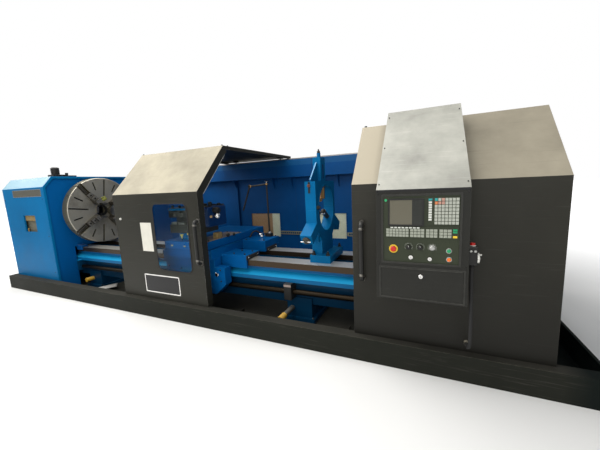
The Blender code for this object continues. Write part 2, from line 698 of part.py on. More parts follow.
def spindle_drive():
    axis = (SPINDLE_Y, SPINDLE_Z)
    flange_face = CHUCK_FACE_X - CHUCK_THICK - GAP
    length = flange_face - SHAFT_LEFT
    neck = length - SHAFT_FLANGE_THICK
    profile = [(SHAFT_BORE, length), (SHAFT_FLANGE, length), (SHAFT_FLANGE, neck), (SHAFT_RADIUS, neck),
               (SHAFT_RADIUS, 0.0), (SHAFT_BORE, 0.0)]
    shaft = turned("spindle_shaft", profile, (SHAFT_LEFT, *axis), (1, 0, 0), "ground_steel", 48, closed=True)
    groove = BELT_THICK / 2
    rim, floor = SPINDLE_PULLEY_RADIUS + groove, SPINDLE_PULLEY_RADIUS
    edge = (PULLEY_WIDTH - BELT_WIDTH) / 2 - GAP
    bore = SHAFT_RADIUS + GAP
    profile = [(bore, PULLEY_WIDTH), (rim, PULLEY_WIDTH), (rim, PULLEY_WIDTH - edge), (floor, PULLEY_WIDTH - edge),
               (floor, edge), (rim, edge), (rim, 0.0), (bore, 0.0)]
    pulley = turned("spindle_pulley", profile, (PULLEY_LEFT, *axis), (1, 0, 0), "cast_steel", 48, closed=True)
    rim, floor = MOTOR_PULLEY_RADIUS + groove, MOTOR_PULLEY_RADIUS
    bore = MOTOR_SHAFT_RADIUS + GAP
    profile = [(bore, PULLEY_WIDTH), (rim, PULLEY_WIDTH), (rim, PULLEY_WIDTH - edge), (floor, PULLEY_WIDTH - edge),
               (floor, edge), (rim, edge), (rim, 0.0), (bore, 0.0)]
    motor_place = (PULLEY_LEFT, MOTOR_Y, MOTOR_Z)
    motor_pulley = turned("motor_pulley", profile, motor_place, (1, 0, 0), "cast_steel", 32, closed=True)
    pivot("motor_axis", motor_place, motor_pulley)
    belt_low = PULLEY_LEFT + (PULLEY_WIDTH - BELT_WIDTH) / 2
    slack = BELT_SLACK
    outer = belt_line(axis, (MOTOR_Y, MOTOR_Z), SPINDLE_PULLEY_RADIUS + slack + BELT_THICK,
                      MOTOR_PULLEY_RADIUS + slack + BELT_THICK, 24)
    inner = belt_line(axis, (MOTOR_Y, MOTOR_Z), SPINDLE_PULLEY_RADIUS + slack, MOTOR_PULLEY_RADIUS + slack, 24)
    belt = outline("drive_belt", outer, "YZ", belt_low, belt_low + BELT_WIDTH, "belt_rubber")
    cut(belt, outline("belt_room", inner, "YZ", belt_low - 0.01, belt_low + BELT_WIDTH + 0.01))
    main_motor()
    chuck(shaft, pulley)


def main_motor():
    left = PULLEY_LEFT + PULLEY_WIDTH + 0.05
    motor = rod("main_motor", (left, MOTOR_Y, MOTOR_Z), (left + MOTOR_LENGTH, MOTOR_Y, MOTOR_Z), MOTOR_RADIUS,
                "motor_grey", 24)
    stand = block("motor_stand", (left + 0.08, MOTOR_Y - MOTOR_RADIUS * 0.9, TRAY_SHEET + GAP),
                  (left + MOTOR_LENGTH - 0.08, MOTOR_Y + MOTOR_RADIUS * 0.9, MOTOR_Z - MOTOR_RADIUS * 0.6))
    stub = rod("motor_stub", (PULLEY_LEFT + 0.005, MOTOR_Y, MOTOR_Z), (left + 0.02, MOTOR_Y, MOTOR_Z),
               MOTOR_SHAFT_RADIUS - RUNNING_GAP, segments=32)
    fuse(motor, stand, stub)


def jaw_angles():
    return [JAW_FIRST_ANGLE + 360 / JAW_COUNT * i for i in range(JAW_COUNT)]


def chuck(*turning):
    axis = (SPINDLE_Y, SPINDLE_Z)
    back = CHUCK_FACE_X - CHUCK_THICK
    edge = 0.008
    profile = [(CHUCK_BORE, CHUCK_THICK), (CHUCK_RADIUS - edge, CHUCK_THICK), (CHUCK_RADIUS, CHUCK_THICK - edge),
               (CHUCK_RADIUS, edge), (CHUCK_RADIUS - edge, 0.0), (CHUCK_BORE, 0.0)]
    body = turned("chuck_body", profile, (back, *axis), (1, 0, 0), "cast_steel", 64, closed=True)
    reach = CHUCK_RADIUS + 0.05
    for i, angle in enumerate(jaw_angles()):
        cut(body, slot(f"jaw_slot_{i}", angle, CHUCK_BORE - 0.03, reach, JAW_WIDTH + 2 * GAP, JAW_SLOT_DEPTH))
        straight = angle - 180 / JAW_COUNT
        cut(body, slot(f"tee_slot_{i}", straight, TEE_SLOT_INNER, TEE_SLOT_OUTER, TEE_SLOT_WIDTH, 0.03))
        for side in (-1, 1):
            cut(body, slot(f"short_slot_{i}_{side + 1}", straight + side * SHORT_SLOT_ANGLE, SHORT_SLOT_INNER,
                           SHORT_SLOT_OUTER, TEE_SLOT_WIDTH, 0.02))
    pivot("spindle_axis", (CHUCK_FACE_X, *axis), body, *turning)
    for i, angle in enumerate(jaw_angles()):
        chuck_jaw(f"chuck_jaw_{i + 1}", angle)


def slot(name, angle, inner, outer, width, depth):
    half = width / 2
    corners = [(inner, -half), (outer, -half), (outer, half), (inner, half)]
    points = [radial(angle, r, t) for r, t in corners]
    return outline(name, points, "YZ", CHUCK_FACE_X - depth, CHUCK_FACE_X + 0.05)


def chuck_jaw(name, angle):
    # A stepped side view, turned from straight up to its own angle round the spindle line.
    floor = CHUCK_FACE_X - JAW_SLOT_DEPTH + GAP
    outer, third = JAW_INNER + JAW_LENGTH, JAW_LENGTH / 3
    steps = [CHUCK_FACE_X + JAW_STEP * (i + 1) for i in range(3)]
    side = [(floor, JAW_INNER), (steps[2], JAW_INNER), (steps[2], JAW_INNER + third),
            (steps[1], JAW_INNER + third), (steps[1], outer - third), (steps[0], outer - third),
            (steps[0], outer), (floor, outer)]
    jaw = outline(name, side, "XZ", -JAW_WIDTH / 2, JAW_WIDTH / 2, "ground_steel")
    lean = Matrix.Rotation(math.radians(angle - 90), 4, "X")
    jaw.data.transform(Matrix.Translation((0, SPINDLE_Y, SPINDLE_Z)) @ lean)
    pivot(name + "_axis", (CHUCK_FACE_X, *radial(angle, JAW_INNER)), jaw)


def carriage():
    front, rear = SPINDLE_Y - BED_WIDTH / 2 - GAP, SPINDLE_Y + BED_WIDTH / 2 + GAP
    low = WAY_TOP + GAP
    saddle = block("saddle", (SADDLE_LEFT, front - SADDLE_LIP, low),
                   (SADDLE_RIGHT, front + SADDLE_WING, SADDLE_WING_TOP))
    wing = block("saddle_rear_wing", (SADDLE_LEFT, rear - SADDLE_WING, low),
                 (SADDLE_RIGHT, rear + SADDLE_LIP, SADDLE_WING_TOP))
    front_lip = block("saddle_front_lip", (SADDLE_LEFT, front - SADDLE_LIP, SADDLE_LIP_BOTTOM),
                      (SADDLE_RIGHT, front, low + 0.02))
    rear_lip = block("saddle_rear_lip", (SADDLE_LEFT, rear, SADDLE_LIP_BOTTOM),
                     (SADDLE_RIGHT, rear + SADDLE_LIP, low + 0.02))
    bridge = block("saddle_bridge", (SLIDE_LEFT - BRIDGE_MARGIN, SLIDE_FRONT + BRIDGE_MARGIN, BRIDGE_BOTTOM),
                   (SLIDE_RIGHT + BRIDGE_MARGIN, SLIDE_REAR - BRIDGE_MARGIN, SLIDE_BOTTOM - GAP))
    pad = block("saddle_pad", (SADDLE_PAD_LEFT, rear - SADDLE_WING, SADDLE_WING_TOP - 0.02),
                (SADDLE_RIGHT, SADDLE_PAD_REAR, SADDLE_PAD_TOP))
    fuse(saddle, wing, front_lip, rear_lip, bridge, pad)
    apron()
    pivot("carriage_axis", (0, SPINDLE_Y, WAY_TOP), saddle)


def bevel(item, width, segments=1):
    edge = item.modifiers.new("edge", "BEVEL")
    edge.width = width
    edge.segments = segments
    edge.limit_method = "ANGLE"
    edge.angle_limit = math.radians(50)
    return item


def apron():
    top = BRIDGE_BOTTOM - GAP
    points = [(APRON_LEFT, top), (APRON_LEFT, APRON_SIDE_BOTTOM), (APRON_LEFT + APRON_TAPER, APRON_BOTTOM),
              (APRON_RIGHT - APRON_TAPER, APRON_BOTTOM), (APRON_RIGHT, APRON_SIDE_BOTTOM),
              (APRON_RIGHT, APRON_SHOULDER_Z), (APRON_SHOULDER, APRON_SHOULDER_Z), (APRON_SHOULDER, top)]
    made = outline("apron", points, "XZ", APRON_FRONT, APRON_REAR)
    nut = block("screw_nut", (NUT_LEFT, APRON_REAR - 0.02, SCREW_Z - NUT_HALF),
                (NUT_RIGHT, SCREW_Y + NUT_HALF, SCREW_Z + NUT_HALF))
    fuse(made, nut)
    cut(made, rod("nut_hole", (NUT_LEFT - 0.1, SCREW_Y, SCREW_Z), (NUT_RIGHT + 0.1, SCREW_Y, SCREW_Z),
                  SCREW_RADIUS + RUNNING_GAP))
    return made


def cross_slide():
    slide = block("cross_slide", (SLIDE_LEFT, SLIDE_FRONT, SLIDE_BOTTOM), (SLIDE_RIGHT, SLIDE_REAR, SLIDE_TOP))
    bevel(slide, 0.006)
    base = rod("turret_base", (TURRET_X, TURRET_Y, SLIDE_TOP + GAP), (TURRET_X, TURRET_Y, TURRET_BOTTOM),
               TURRET_BASE_RADIUS, "blue_paint", 32)
    pivot("cross_slide_axis", (TURRET_X, TURRET_Y, SLIDE_TOP), slide, base)
    half = TURRET_SIDE / 2
    head = block("turret_head", (TURRET_X - half, TURRET_Y - half, TURRET_BOTTOM + GAP),
                 (TURRET_X + half, TURRET_Y + half, TURRET_TOP), "turret_iron")
    slot_high = TOOL_SLOT_BOTTOM + TOOL_SLOT_HEIGHT
    for side in (-1, 1):
        near, far = sorted((side * (half - TOOL_SLOT_DEPTH), side * (half + 0.05)))
        cut(head, block(f"tool_slot_x_{side + 1}", (TURRET_X + near, TURRET_Y - 1, TOOL_SLOT_BOTTOM),
                        (TURRET_X + far, TURRET_Y + 1, slot_high)))
        cut(head, block(f"tool_slot_y_{side + 1}", (TURRET_X - 1, TURRET_Y + near, TOOL_SLOT_BOTTOM),
                        (TURRET_X + 1, TURRET_Y + far, slot_high)))
    pivot("turret_axis", (TURRET_X, TURRET_Y, TURRET_BOTTOM), head)


def coolant_pipe():
    low = SADDLE_PAD_TOP + GAP
    half = COOLANT_BASE / 2
    post = rod("coolant_post", (COOLANT_X, COOLANT_Y, low + 0.02), (COOLANT_X, COOLANT_Y, COOLANT_TOP),
               COOLANT_RADIUS, "black_plastic", 16)
    fuse(post, block("coolant_base", (COOLANT_X - 1.6 * half, COOLANT_Y - half, low),
                     (COOLANT_X + half, COOLANT_Y + half, low + 0.05)))
    start = COOLANT_TOP + GAP
    arm = rod("coolant_nozzle", (COOLANT_X, COOLANT_Y, start), (COOLANT_X, COOLANT_Y, start + 0.040),
              COOLANT_JOINT, "black_plastic", 16)
    reach = rod("coolant_reach", (COOLANT_X, COOLANT_Y, start + 0.020), COOLANT_ELBOW, COOLANT_RADIUS, segments=16)
    elbow_x, elbow_y, elbow_z = COOLANT_ELBOW
    joint = rod("coolant_joint", (elbow_x, elbow_y - 0.021, elbow_z), (elbow_x, elbow_y + 0.021, elbow_z),
                COOLANT_JOINT, segments=16)
    drop = rod("coolant_drop", COOLANT_ELBOW, COOLANT_TIP, COOLANT_RADIUS, segments=16)
    fuse(arm, reach, joint, drop)
    pivot("coolant_axis", (COOLANT_X, COOLANT_Y, COOLANT_TOP), arm)


def boss_box(name, angle, inner, outer, half, low, high, finish="blue_paint"):
    corners = [(inner, -half), (outer, -half), (outer, half), (inner, half)]
    return outline(name, [radial(angle, r, t) for r, t in corners], "YZ", low, high, finish)


def quill(name, angle, x, tip, length, radius):
    tail = tip + length
    start = (x, *radial(angle, tail))
    heading = Vector((x, *radial(angle, tip))) - Vector(start)
    ball = radius * 0.85
    crown = [(ball * math.sin(math.radians(a)), length - ball + ball * math.cos(math.radians(a)))
             for a in (0, 30, 60, 90)]
    crown[0] = (0.0, length)
    profile = crown + [(ball, length - 2 * ball), (radius, length - 2 * ball), (radius, 0.0), (0.0, 0.0)]
    made = turned(name, profile, start, heading, "ground_steel", 16)
    pivot(name + "_axis", start, made)
    return made


def steady_rest():
    axis = (SPINDLE_Y, SPINDLE_Z)
    left, right = STEADY_LEFT, STEADY_LEFT + STEADY_THICK
    middle = left + STEADY_COLUMN_THICK / 2
    waist = STEADY_WAIST_HALF
    foot_low = WAY_TOP + GAP
    inside = STEADY_BASE_TOP - 0.02
    lower = [(SPINDLE_Y - waist, inside), (SPINDLE_Y + waist, inside), (SPINDLE_Y + waist, STEADY_WAIST_TOP),
             (STEADY_REAR, STEADY_SIDE_BOTTOM), (STEADY_REAR, SPINDLE_Z), (STEADY_FRONT, SPINDLE_Z),
             (STEADY_FRONT, STEADY_SIDE_BOTTOM), (SPINDLE_Y - waist, STEADY_WAIST_TOP)]
    body = outline("steady_frame", lower, "YZ", left, right)
    fuse(body, block("steady_foot", (STEADY_BASE_LEFT, SPINDLE_Y - STEADY_BASE_HALF, foot_low),
                     (STEADY_BASE_RIGHT, SPINDLE_Y + STEADY_BASE_HALF, STEADY_BASE_TOP)))
    lower_angles = {"front": 90 + STEADY_ARM_ANGLE, "rear": 90 - STEADY_ARM_ANGLE}
    for name, angle in lower_angles.items():
        fuse(body, boss_box(f"steady_arm_{name}", angle, 0.22, STEADY_ARM_REACH, STEADY_ARM_HALF,
                            left - 0.002, right + 0.002))
    cut(body, rod("steady_bore", (left - 0.1, *axis), (right + 0.1, *axis), STEADY_BORE, segments=48))
    for name, angle in lower_angles.items():
        cut(body, rod(f"steady_hole_{name}", (middle, *radial(angle, 0.15)),
                      (middle, *radial(angle, STEADY_HOLE_REACH)), STEADY_QUILL_RADIUS + GAP, segments=24))
        quill(f"steady_quill_{name}", angle, middle, STEADY_TIP, STEADY_QUILL_LENGTH, STEADY_QUILL_RADIUS)
    steady_cap(left, right, middle)


def steady_cap(left, right, middle):
    low = SPINDLE_Z + GAP
    column, top = STEADY_COLUMN_HALF, STEADY_SHOULDER
    arch = [(STEADY_FRONT, low), (STEADY_REAR, low), (STEADY_REAR, top), (STEADY_FRONT, top)]
    cap = outline("steady_cap", arch, "YZ", left, right)
    fuse(cap, block("steady_column", (left, SPINDLE_Y - column, top - 0.05),
                    (left + STEADY_COLUMN_THICK, SPINDLE_Y + column, STEADY_COLUMN_TOP)))
    rib = [(SPINDLE_Y - column - STEADY_RIB_REACH, top - 0.02), (SPINDLE_Y, top - 0.02),
           (SPINDLE_Y, STEADY_RIB_TOP), (SPINDLE_Y - column - 0.01, STEADY_RIB_TOP),
           (SPINDLE_Y - column - STEADY_RIB_REACH, top + 0.01)]
    fuse(cap, outline("steady_rib", rib, "YZ", middle - STEADY_RIB_HALF, middle + STEADY_RIB_HALF))
    hinge_y = STEADY_REAR + STEADY_HINGE_RADIUS + 2 * GAP
    fuse(cap, block("steady_lug", (left + 0.02, STEADY_REAR - 0.01, low),
                    (right - 0.02, hinge_y + 0.005, SPINDLE_Z + 0.04)))
    fuse(cap, rod("steady_knuckle", (left + 0.02, hinge_y, SPINDLE_Z), (right - 0.02, hinge_y, SPINDLE_Z),
                  STEADY_HINGE_RADIUS, segments=16))
    fuse(cap, rod("steady_knob", (middle, SPINDLE_Y, STEADY_COLUMN_TOP - 0.01),
                  (middle, SPINDLE_Y, STEADY_COLUMN_TOP + STEADY_KNOB_HEIGHT), STEADY_KNOB_RADIUS, segments=16))
    cut(cap, rod("steady_cap_bore", (left - 0.1, SPINDLE_Y, SPINDLE_Z), (right + 0.1, SPINDLE_Y, SPINDLE_Z),
                 STEADY_BORE, segments=48))
    cut(cap, rod("steady_hole_top", (middle, SPINDLE_Y, SPINDLE_Z), (middle, *radial(90, STEADY_HOLE_REACH)),
                 STEADY_QUILL_RADIUS + GAP, segments=24))
    pivot("steady_cap_axis", (middle, hinge_y, SPINDLE_Z), cap)
    quill("steady_quill_top", 90, middle, STEADY_TIP, STEADY_QUILL_LENGTH, STEADY_QUILL_RADIUS)


def tailstock():
    axis = (SPINDLE_Y, SPINDLE_Z)
    right = TAIL_LEFT + TAIL_LENGTH
    body = rod("tailstock_body", (TAIL_LEFT - 0.02, *axis), (right, *axis), TAIL_BARREL_RADIUS, segments=32)
    low = TAIL_BASE_TOP
    wide, narrow = TAIL_BODY_HALF, TAIL_BARREL_RADIUS * 0.9
    shape = [(-wide, low - 0.02), (wide, low - 0.02), (wide, low + 0.08), (narrow, SPINDLE_Z),
             (-narrow, SPINDLE_Z), (-wide, low + 0.08)]
    fuse(body, outline("tailstock_leg", [(SPINDLE_Y + y, z) for y, z in shape], "YZ", TAIL_LEFT, right - 0.02))
    fuse(body, block("tailstock_foot", (TAIL_LEFT, SPINDLE_Y - TAIL_BASE_HALF, WAY_TOP + GAP),
                     (right, SPINDLE_Y + TAIL_BASE_HALF, TAIL_BASE_TOP)))
    tail = TAIL_QUILL_NOSE + TAIL_QUILL_LENGTH
    cut(body, rod("tailstock_bore", (TAIL_LEFT - 0.1, *axis), (tail + 0.05, *axis), TAIL_QUILL_RADIUS + 2 * GAP,
                  segments=32))
    shank = CENTRE_RADIUS * 0.7
    profile = [(TAIL_QUILL_RADIUS, TAIL_QUILL_LENGTH), (TAIL_QUILL_RADIUS, 0.01),
               (TAIL_QUILL_RADIUS - 0.01, 0.0), (shank + RUNNING_GAP, 0.0), (shank + RUNNING_GAP, 0.10), (0.0, 0.10)]
    made = turned("tailstock_quill", [(0.0, TAIL_QUILL_LENGTH)] + profile, (TAIL_QUILL_NOSE, *axis), (1, 0, 0),
                  "ground_steel", 32)
    pivot("tailstock_quill_axis", (TAIL_QUILL_NOSE, *axis), made)
    nose = TAIL_QUILL_NOSE - GAP
    profile = [(0.0, CENTRE_LENGTH), (CENTRE_RADIUS, CENTRE_LENGTH - 0.07), (CENTRE_RADIUS, 0.0), (shank, 0.0),
               (shank, -0.09), (0.0, -0.09)]
    point = turned("live_centre", profile, (nose, *axis), (-1, 0, 0), "ground_steel", 24)
    pivot("live_centre_axis", (nose, *axis), point)


def rear_guard():
    low = TRAY_HEIGHT + GAP
    sheet = GUARD_SHEET
    out = [(GUARD_Y, low), (GUARD_Y + sheet, low), (GUARD_Y + sheet, GUARD_TOP), (GUARD_FRONT, GUARD_TOP),
           (GUARD_FRONT, GUARD_BEAM_BOTTOM), (GUARD_Y, GUARD_BEAM_BOTTOM)]
    guard = outline("rear_guard", out, "YZ", GUARD_LEFT, GUARD_RIGHT)
    fuse(guard, block("guard_end", (GUARD_LEFT, HEAD_REAR + GAP, low),
                      (GUARD_LEFT + sheet, GUARD_Y + sheet / 2, HEAD_TOP)))
    cut(guard, block("guard_beam_room", (GUARD_LEFT + 0.05, GUARD_FRONT + sheet, GUARD_BEAM_BOTTOM + sheet),
                     (GUARD_RIGHT + 0.1, GUARD_Y, GUARD_TOP - sheet)))
    for side, span in GUARD_WINDOWS.items():
        cut(guard, block(f"guard_hole_{side}", (span[0], GUARD_Y - 0.05, GUARD_WINDOW_Z[0]),
                         (span[1], GUARD_Y + 0.05, GUARD_WINDOW_Z[1])))
        back = GUARD_Y + sheet + GAP
        block(f"guard_window_{side}", (span[0] - PANE_MARGIN, back, GUARD_WINDOW_Z[0] - PANE_MARGIN),
              (span[1] + PANE_MARGIN, back + PANE_THICK, GUARD_WINDOW_Z[1] + PANE_MARGIN), "clear_pane")
    block("door_rail", (GUARD_LEFT, RAIL_Y - RAIL_WIDTH / 2, GUARD_TOP + GAP),
          (GUARD_RIGHT, RAIL_Y + RAIL_WIDTH / 2, GUARD_TOP + RAIL_HEIGHT - GAP), "ground_steel")


def door_section(depth, rear, bottom):
    return offset_profile(DOOR_FRONT, DOOR_FRONT_TOP, (DOOR_ROOF_FRONT, DOOR_TOP), rear, DOOR_TOP, depth, bottom)


def door(name, left):
    right = left + DOOR_WIDTH
    low = TRAY_HEIGHT + GAP
    shell = outline(name, door_section(0.0, DOOR_ROOF_REAR, low), "YZ", left, right, "dark_paint")
    beyond = DOOR_ROOF_REAR + 0.1
    cut(shell, outline(name + "_room", door_section(DOOR_SHEET, beyond, 0.0), "YZ", left + DOOR_FRAME_WIDTH,
                       right - DOOR_FRAME_WIDTH))
    cut(shell, outline(name + "_way", door_section(DOOR_SIDE_DEPTH, beyond, 0.0), "YZ", left - 0.1, right + 0.1))
    under = DOOR_TOP - DOOR_FRAME_DEPTH
    cut(shell, block(name + "_roof_way", (left - 0.1, DOOR_ROOF_FRONT + 0.06, under - 0.1),
                     (right + 0.1, beyond, under)))
    return shell


def door_handle(name, x):
    near, far = DOOR_FRONT - GAP, DOOR_FRONT - HANDLE_STAND
    low, high = HANDLE_Z
    bend = 0.03
    lower = [(far + bend - bend * math.cos(math.radians(a)), low + bend * (1 - math.sin(math.radians(a))))
             for a in (90, 60, 30, 0)]
    upper = [(y, high + low - z) for y, z in lower[::-1]]
    route = [(near, low)] + lower + upper + [(near, high)]
    return tube(name, [(x, y, z) for y, z in route], HANDLE_RADIUS, "black_plastic")


def left_door():
    shell = door("left_door", LEFT_DOOR_X)
    low, high = (VIEW_X[0], VIEW_Z[0]), (VIEW_X[1], VIEW_Z[1])
    cut(shell, outline("view_hole", rounded(low, high, VIEW_RADIUS), "XZ", DOOR_FRONT - 0.05,
                       DOOR_FRONT + DOOR_FRAME_DEPTH))
    inner = DOOR_FRONT + DOOR_SHEET + GAP
    pane = block("left_door_window", (VIEW_X[0] - PANE_MARGIN, inner, VIEW_Z[0] - PANE_MARGIN),
                 (VIEW_X[1] + PANE_MARGIN, inner + PANE_THICK, VIEW_Z[1] + PANE_MARGIN), "clear_pane")
    handle = door_handle("left_door_handle", LEFT_HANDLE_X)
    pivot("left_door_axis", (LEFT_DOOR_X, DOOR_FRONT, TRAY_HEIGHT), shell, pane, handle)


def right_door():
    shell = door("right_door", RIGHT_DOOR_X)
    cable_x = (PENDANT_X[0] + PENDANT_X[1]) / 2
    fuse(shell, rod("cable_gland", (cable_x, DOOR_FRONT + 0.001, GLAND_Z),
                    (cable_x, DOOR_FRONT - GLAND_LENGTH, GLAND_Z), GLAND_RADIUS, segments=16))
    handle = door_handle("right_door_handle", RIGHT_HANDLE_X)
    pivot("right_door_axis", (RIGHT_DOOR_X, DOOR_FRONT, TRAY_HEIGHT), shell, handle)
    control_box()
    control_hood()
    control_panel()
    pendant(cable_x)


def control_box():
    back = DOOR_FRONT - GAP
    box = block("control_box", (BOX_X[0], BOX_FRONT, BOX_Z[0]), (BOX_X[1], back, BOX_Z[1]), "dark_paint")
    sheet = BOX_SHEET
    cut(box, block("box_room", (BOX_X[0] + sheet, BOX_FRONT + sheet, BOX_Z[0] + sheet),
                   (BOX_X[1] - sheet, back + 0.1, BOX_Z[1] - sheet)))
    cut(box, block("panel_hole", (PANEL_X[0], BOX_FRONT - 0.05, PANEL_Z[0]), (PANEL_X[1], BOX_FRONT + 0.05,
                                                                             PANEL_Z[1])))
    cut(box, block("flap_hole", (FLAP_X[0] - FLAP_GAP, BOX_FRONT - 0.05, FLAP_Z[0] - FLAP_GAP),
                   (FLAP_X[1] + FLAP_GAP, BOX_FRONT + 0.05, FLAP_Z[1] + FLAP_GAP)))
    flap = block("panel_flap", (FLAP_X[0], BOX_FRONT, FLAP_Z[0]), (FLAP_X[1], BOX_FRONT + sheet, FLAP_Z[1]),
                 "dark_paint")
    pivot("panel_flap_axis", ((FLAP_X[0] + FLAP_X[1]) / 2, BOX_FRONT + sheet / 2, FLAP_Z[0] + sheet / 2), flap)


def control_hood():
    low = BOX_Z[1] + GAP
    slope = (DOOR_TOP - DOOR_FRONT_TOP) / (DOOR_ROOF_FRONT - DOOR_FRONT)
    lift = GAP * math.hypot(1, slope)
    back = DOOR_FRONT - GAP
    rear_z = DOOR_FRONT_TOP + slope * (HOOD_TOP_REAR - DOOR_FRONT) + lift
    points = [(BOX_FRONT, low), (back, low), (back, DOOR_FRONT_TOP + lift / 2), (HOOD_TOP_REAR, rear_z),
              (HOOD_TOP_REAR, HOOD_TOP), (HOOD_TOP_FRONT, HOOD_TOP)]
    hood = outline("control_hood", points, "YZ", BOX_X[0], BOX_X[1], "dark_paint")
    sheet = BOX_SHEET
    inner = [(BOX_FRONT + 2.2 * sheet, low + sheet), (back + 0.01, low + sheet), (HOOD_TOP_REAR + 0.03, rear_z - 0.1),
             (HOOD_TOP_REAR + 0.03, HOOD_TOP - sheet), (HOOD_TOP_FRONT + 1.2 * sheet, HOOD_TOP - sheet)]
    room = outline("hood_room", inner, "YZ", BOX_X[0] + sheet, BOX_X[1] - sheet, "dark_paint")
    taper(hood)
    taper(room)
    cut(hood, room)


def taper(item):
    # Both sides lean in towards the top.
    middle = (BOX_X[0] + BOX_X[1]) / 2
    half = (BOX_X[1] - BOX_X[0]) / 2
    for vertex in item.data.vertices:
        share = (vertex.co.z - BOX_Z[1]) / (HOOD_TOP - BOX_Z[1])
        vertex.co.x = middle + (vertex.co.x - middle) * (1 - HOOD_TAPER / half * share)


def control_panel():
    face = BOX_FRONT + BOX_SHEET + GAP
    back = face + PANEL_THICK
    panel = block("control_panel", (PANEL_X[0] - PANEL_MARGIN, face, PANEL_Z[0] - PANEL_MARGIN),
                  (PANEL_X[1] + PANEL_MARGIN, back, PANEL_Z[1] + PANEL_MARGIN), "panel_grey")
    for name, x_pair, z_pair in (("screen", SCREEN_X, SCREEN_Z), ("keys", KEYS_X, KEYS_Z),
                                 ("machine_keys", MACHINE_KEYS_X, MACHINE_KEYS_Z)):
        fuse(panel, block(f"panel_{name}", (x_pair[0], face - KEYS_RISE, z_pair[0]), (x_pair[1], back - 0.001,
                                                                                     z_pair[1])))
    stations = {"e_stop_button": E_STOP, "start_button": START_BUTTON, "stop_button": STOP_BUTTON, **DIALS}
    for name, (x, z) in stations.items():
        cut(panel, rod(f"{name}_hole", (x, face - 0.05, z), (x, back + 0.05, z), BUTTON_SHANK + RUNNING_GAP,
                       segments=16))
    travel = 0.006
    push_button("e_stop_button", E_STOP, face, E_STOP_RADIUS, travel + 0.014, travel, "red_plastic")
    push_button("start_button", START_BUTTON, face, BUTTON_RADIUS, travel + 0.004, travel, "green_plastic")
    push_button("stop_button", STOP_BUTTON, face, BUTTON_RADIUS, travel + 0.004, travel, "orange_plastic")
    for name, (x, z) in DIALS.items():
        finish = "silver_plastic" if name == "mode_selector" else "black_plastic"
        push_button(name, (x, z), face, DIAL_RADIUS, DIAL_RISE, GAP, finish)


def push_button(name, place, face, radius, rise, lift, finish):
    # A head that stands lift proud of the panel face, on a shank that runs through its hole.
    x, z = place
    inside = 0.02
    profile = [(0.0, rise), (radius * 0.8, rise), (radius, rise - radius * 0.2), (radius, lift),
               (BUTTON_SHANK, lift), (BUTTON_SHANK, -inside), (0.0, -inside)]
    made = turned(name, profile, (x, face, z), (0, -1, 0), finish, 16)
    pivot(name + "_axis", (x, face, z), made)


def pendant(cable_x):
    middle_y = (PENDANT_Y[0] + PENDANT_Y[1]) / 2
    body = block("pendant_body", (PENDANT_X[0], PENDANT_Y[0], PENDANT_Z[0]), (PENDANT_X[1], PENDANT_Y[1],
                                                                             PENDANT_Z[1]), "black_plastic")
    bevel(body, 0.006, 2)
    side = PENDANT_X[1] + GAP
    wheel_profile = [(0.0, WHEEL_THICK), (WHEEL_RADIUS * 0.9, WHEEL_THICK), (WHEEL_RADIUS, WHEEL_THICK * 0.7),
                     (WHEEL_RADIUS, 0.0), (0.0, 0.0)]
    wheel = turned("pendant_wheel", wheel_profile, (side, middle_y, WHEEL_Z), (1, 0, 0), "white_plastic", 24)
    knob_z = WHEEL_Z + WHEEL_RADIUS * 0.6
    fuse(wheel, rod("wheel_knob", (side + WHEEL_THICK - 0.004, middle_y, knob_z),
                    (side + WHEEL_THICK + 0.014, middle_y, knob_z), 0.006, segments=12))
    pivot("pendant_wheel_axis", (side, middle_y, WHEEL_Z), wheel)
    lift = 0.006
    profile = [(0.0, lift + 0.018), (PENDANT_STOP_RADIUS, lift + 0.016), (PENDANT_STOP_RADIUS, lift),
               (0.005, lift), (0.005, -0.02), (0.0, -0.02)]
    stop_place = (cable_x, middle_y, PENDANT_Z[1])
    cut(body, rod("pendant_stop_hole", (cable_x, middle_y, PENDANT_Z[1] - 0.04), (cable_x, middle_y,
                                                                                PENDANT_Z[1] + 0.05), 0.006,
                  segments=24))
    stop = turned("pendant_stop", profile, stop_place, (0, 0, 1), "red_plastic", 24)
    pivot("pendant_stop_axis", stop_place, stop)
    pendant_cord(cable_x, middle_y)


def even_bend(pull, count):
    # Evenly spaced points along the cubic curve that the four pull points give, as (y, z).
    fine = []
    for i in range(401):
        t = i / 400
        s = 1 - t
        weights = (s ** 3, 3 * s * s * t, 3 * s * t * t, t ** 3)
        fine.append([sum(w * p[k] for w, p in zip(weights, pull)) for k in (0, 1)])
    run = [0.0]
    for first, second in zip(fine, fine[1:]):
        run.append(run[-1] + math.dist(first, second))
    wanted = [run[-1] * i / (count - 1) for i in range(count)]
    return [fine[min(range(401), key=lambda i: abs(run[i] - reach))] for reach in wanted]


def pendant_cord(x, y):
    # Down from the pendant, bellied outwards, and level into the gland on the door.
    start = (y, PENDANT_Z[0] - GAP)
    top = (y, start[1] - GLAND_STRAIGHT)
    gland_y = DOOR_FRONT - GLAND_LENGTH - GAP
    end = (gland_y - GLAND_STRAIGHT, GLAND_Z)
    pull = (top, (y, top[1] - CABLE_DROP), (end[0] - CABLE_BELLY, GLAND_Z), end)
    route = [start] + even_bend(pull, CABLE_POINTS) + [(gland_y, GLAND_Z)]
    tube("pendant_cord", [(x, py, pz) for py, pz in route], CABLE_RADIUS, "black_plastic")


def build():
    clear_scene()
    chip_tray()
    bed()
    lifting_bars()
    feed_drive()
    headstock()
    spindle_drive()
    carriage()
    cross_slide()
    coolant_pipe()
    steady_rest()
    tailstock()
    rear_guard()
    left_door()
    right_door()


build()
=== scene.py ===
import math

import bmesh
import bpy
from mathutils import Matrix, Vector
from mathutils.geometry import tessellate_polygon


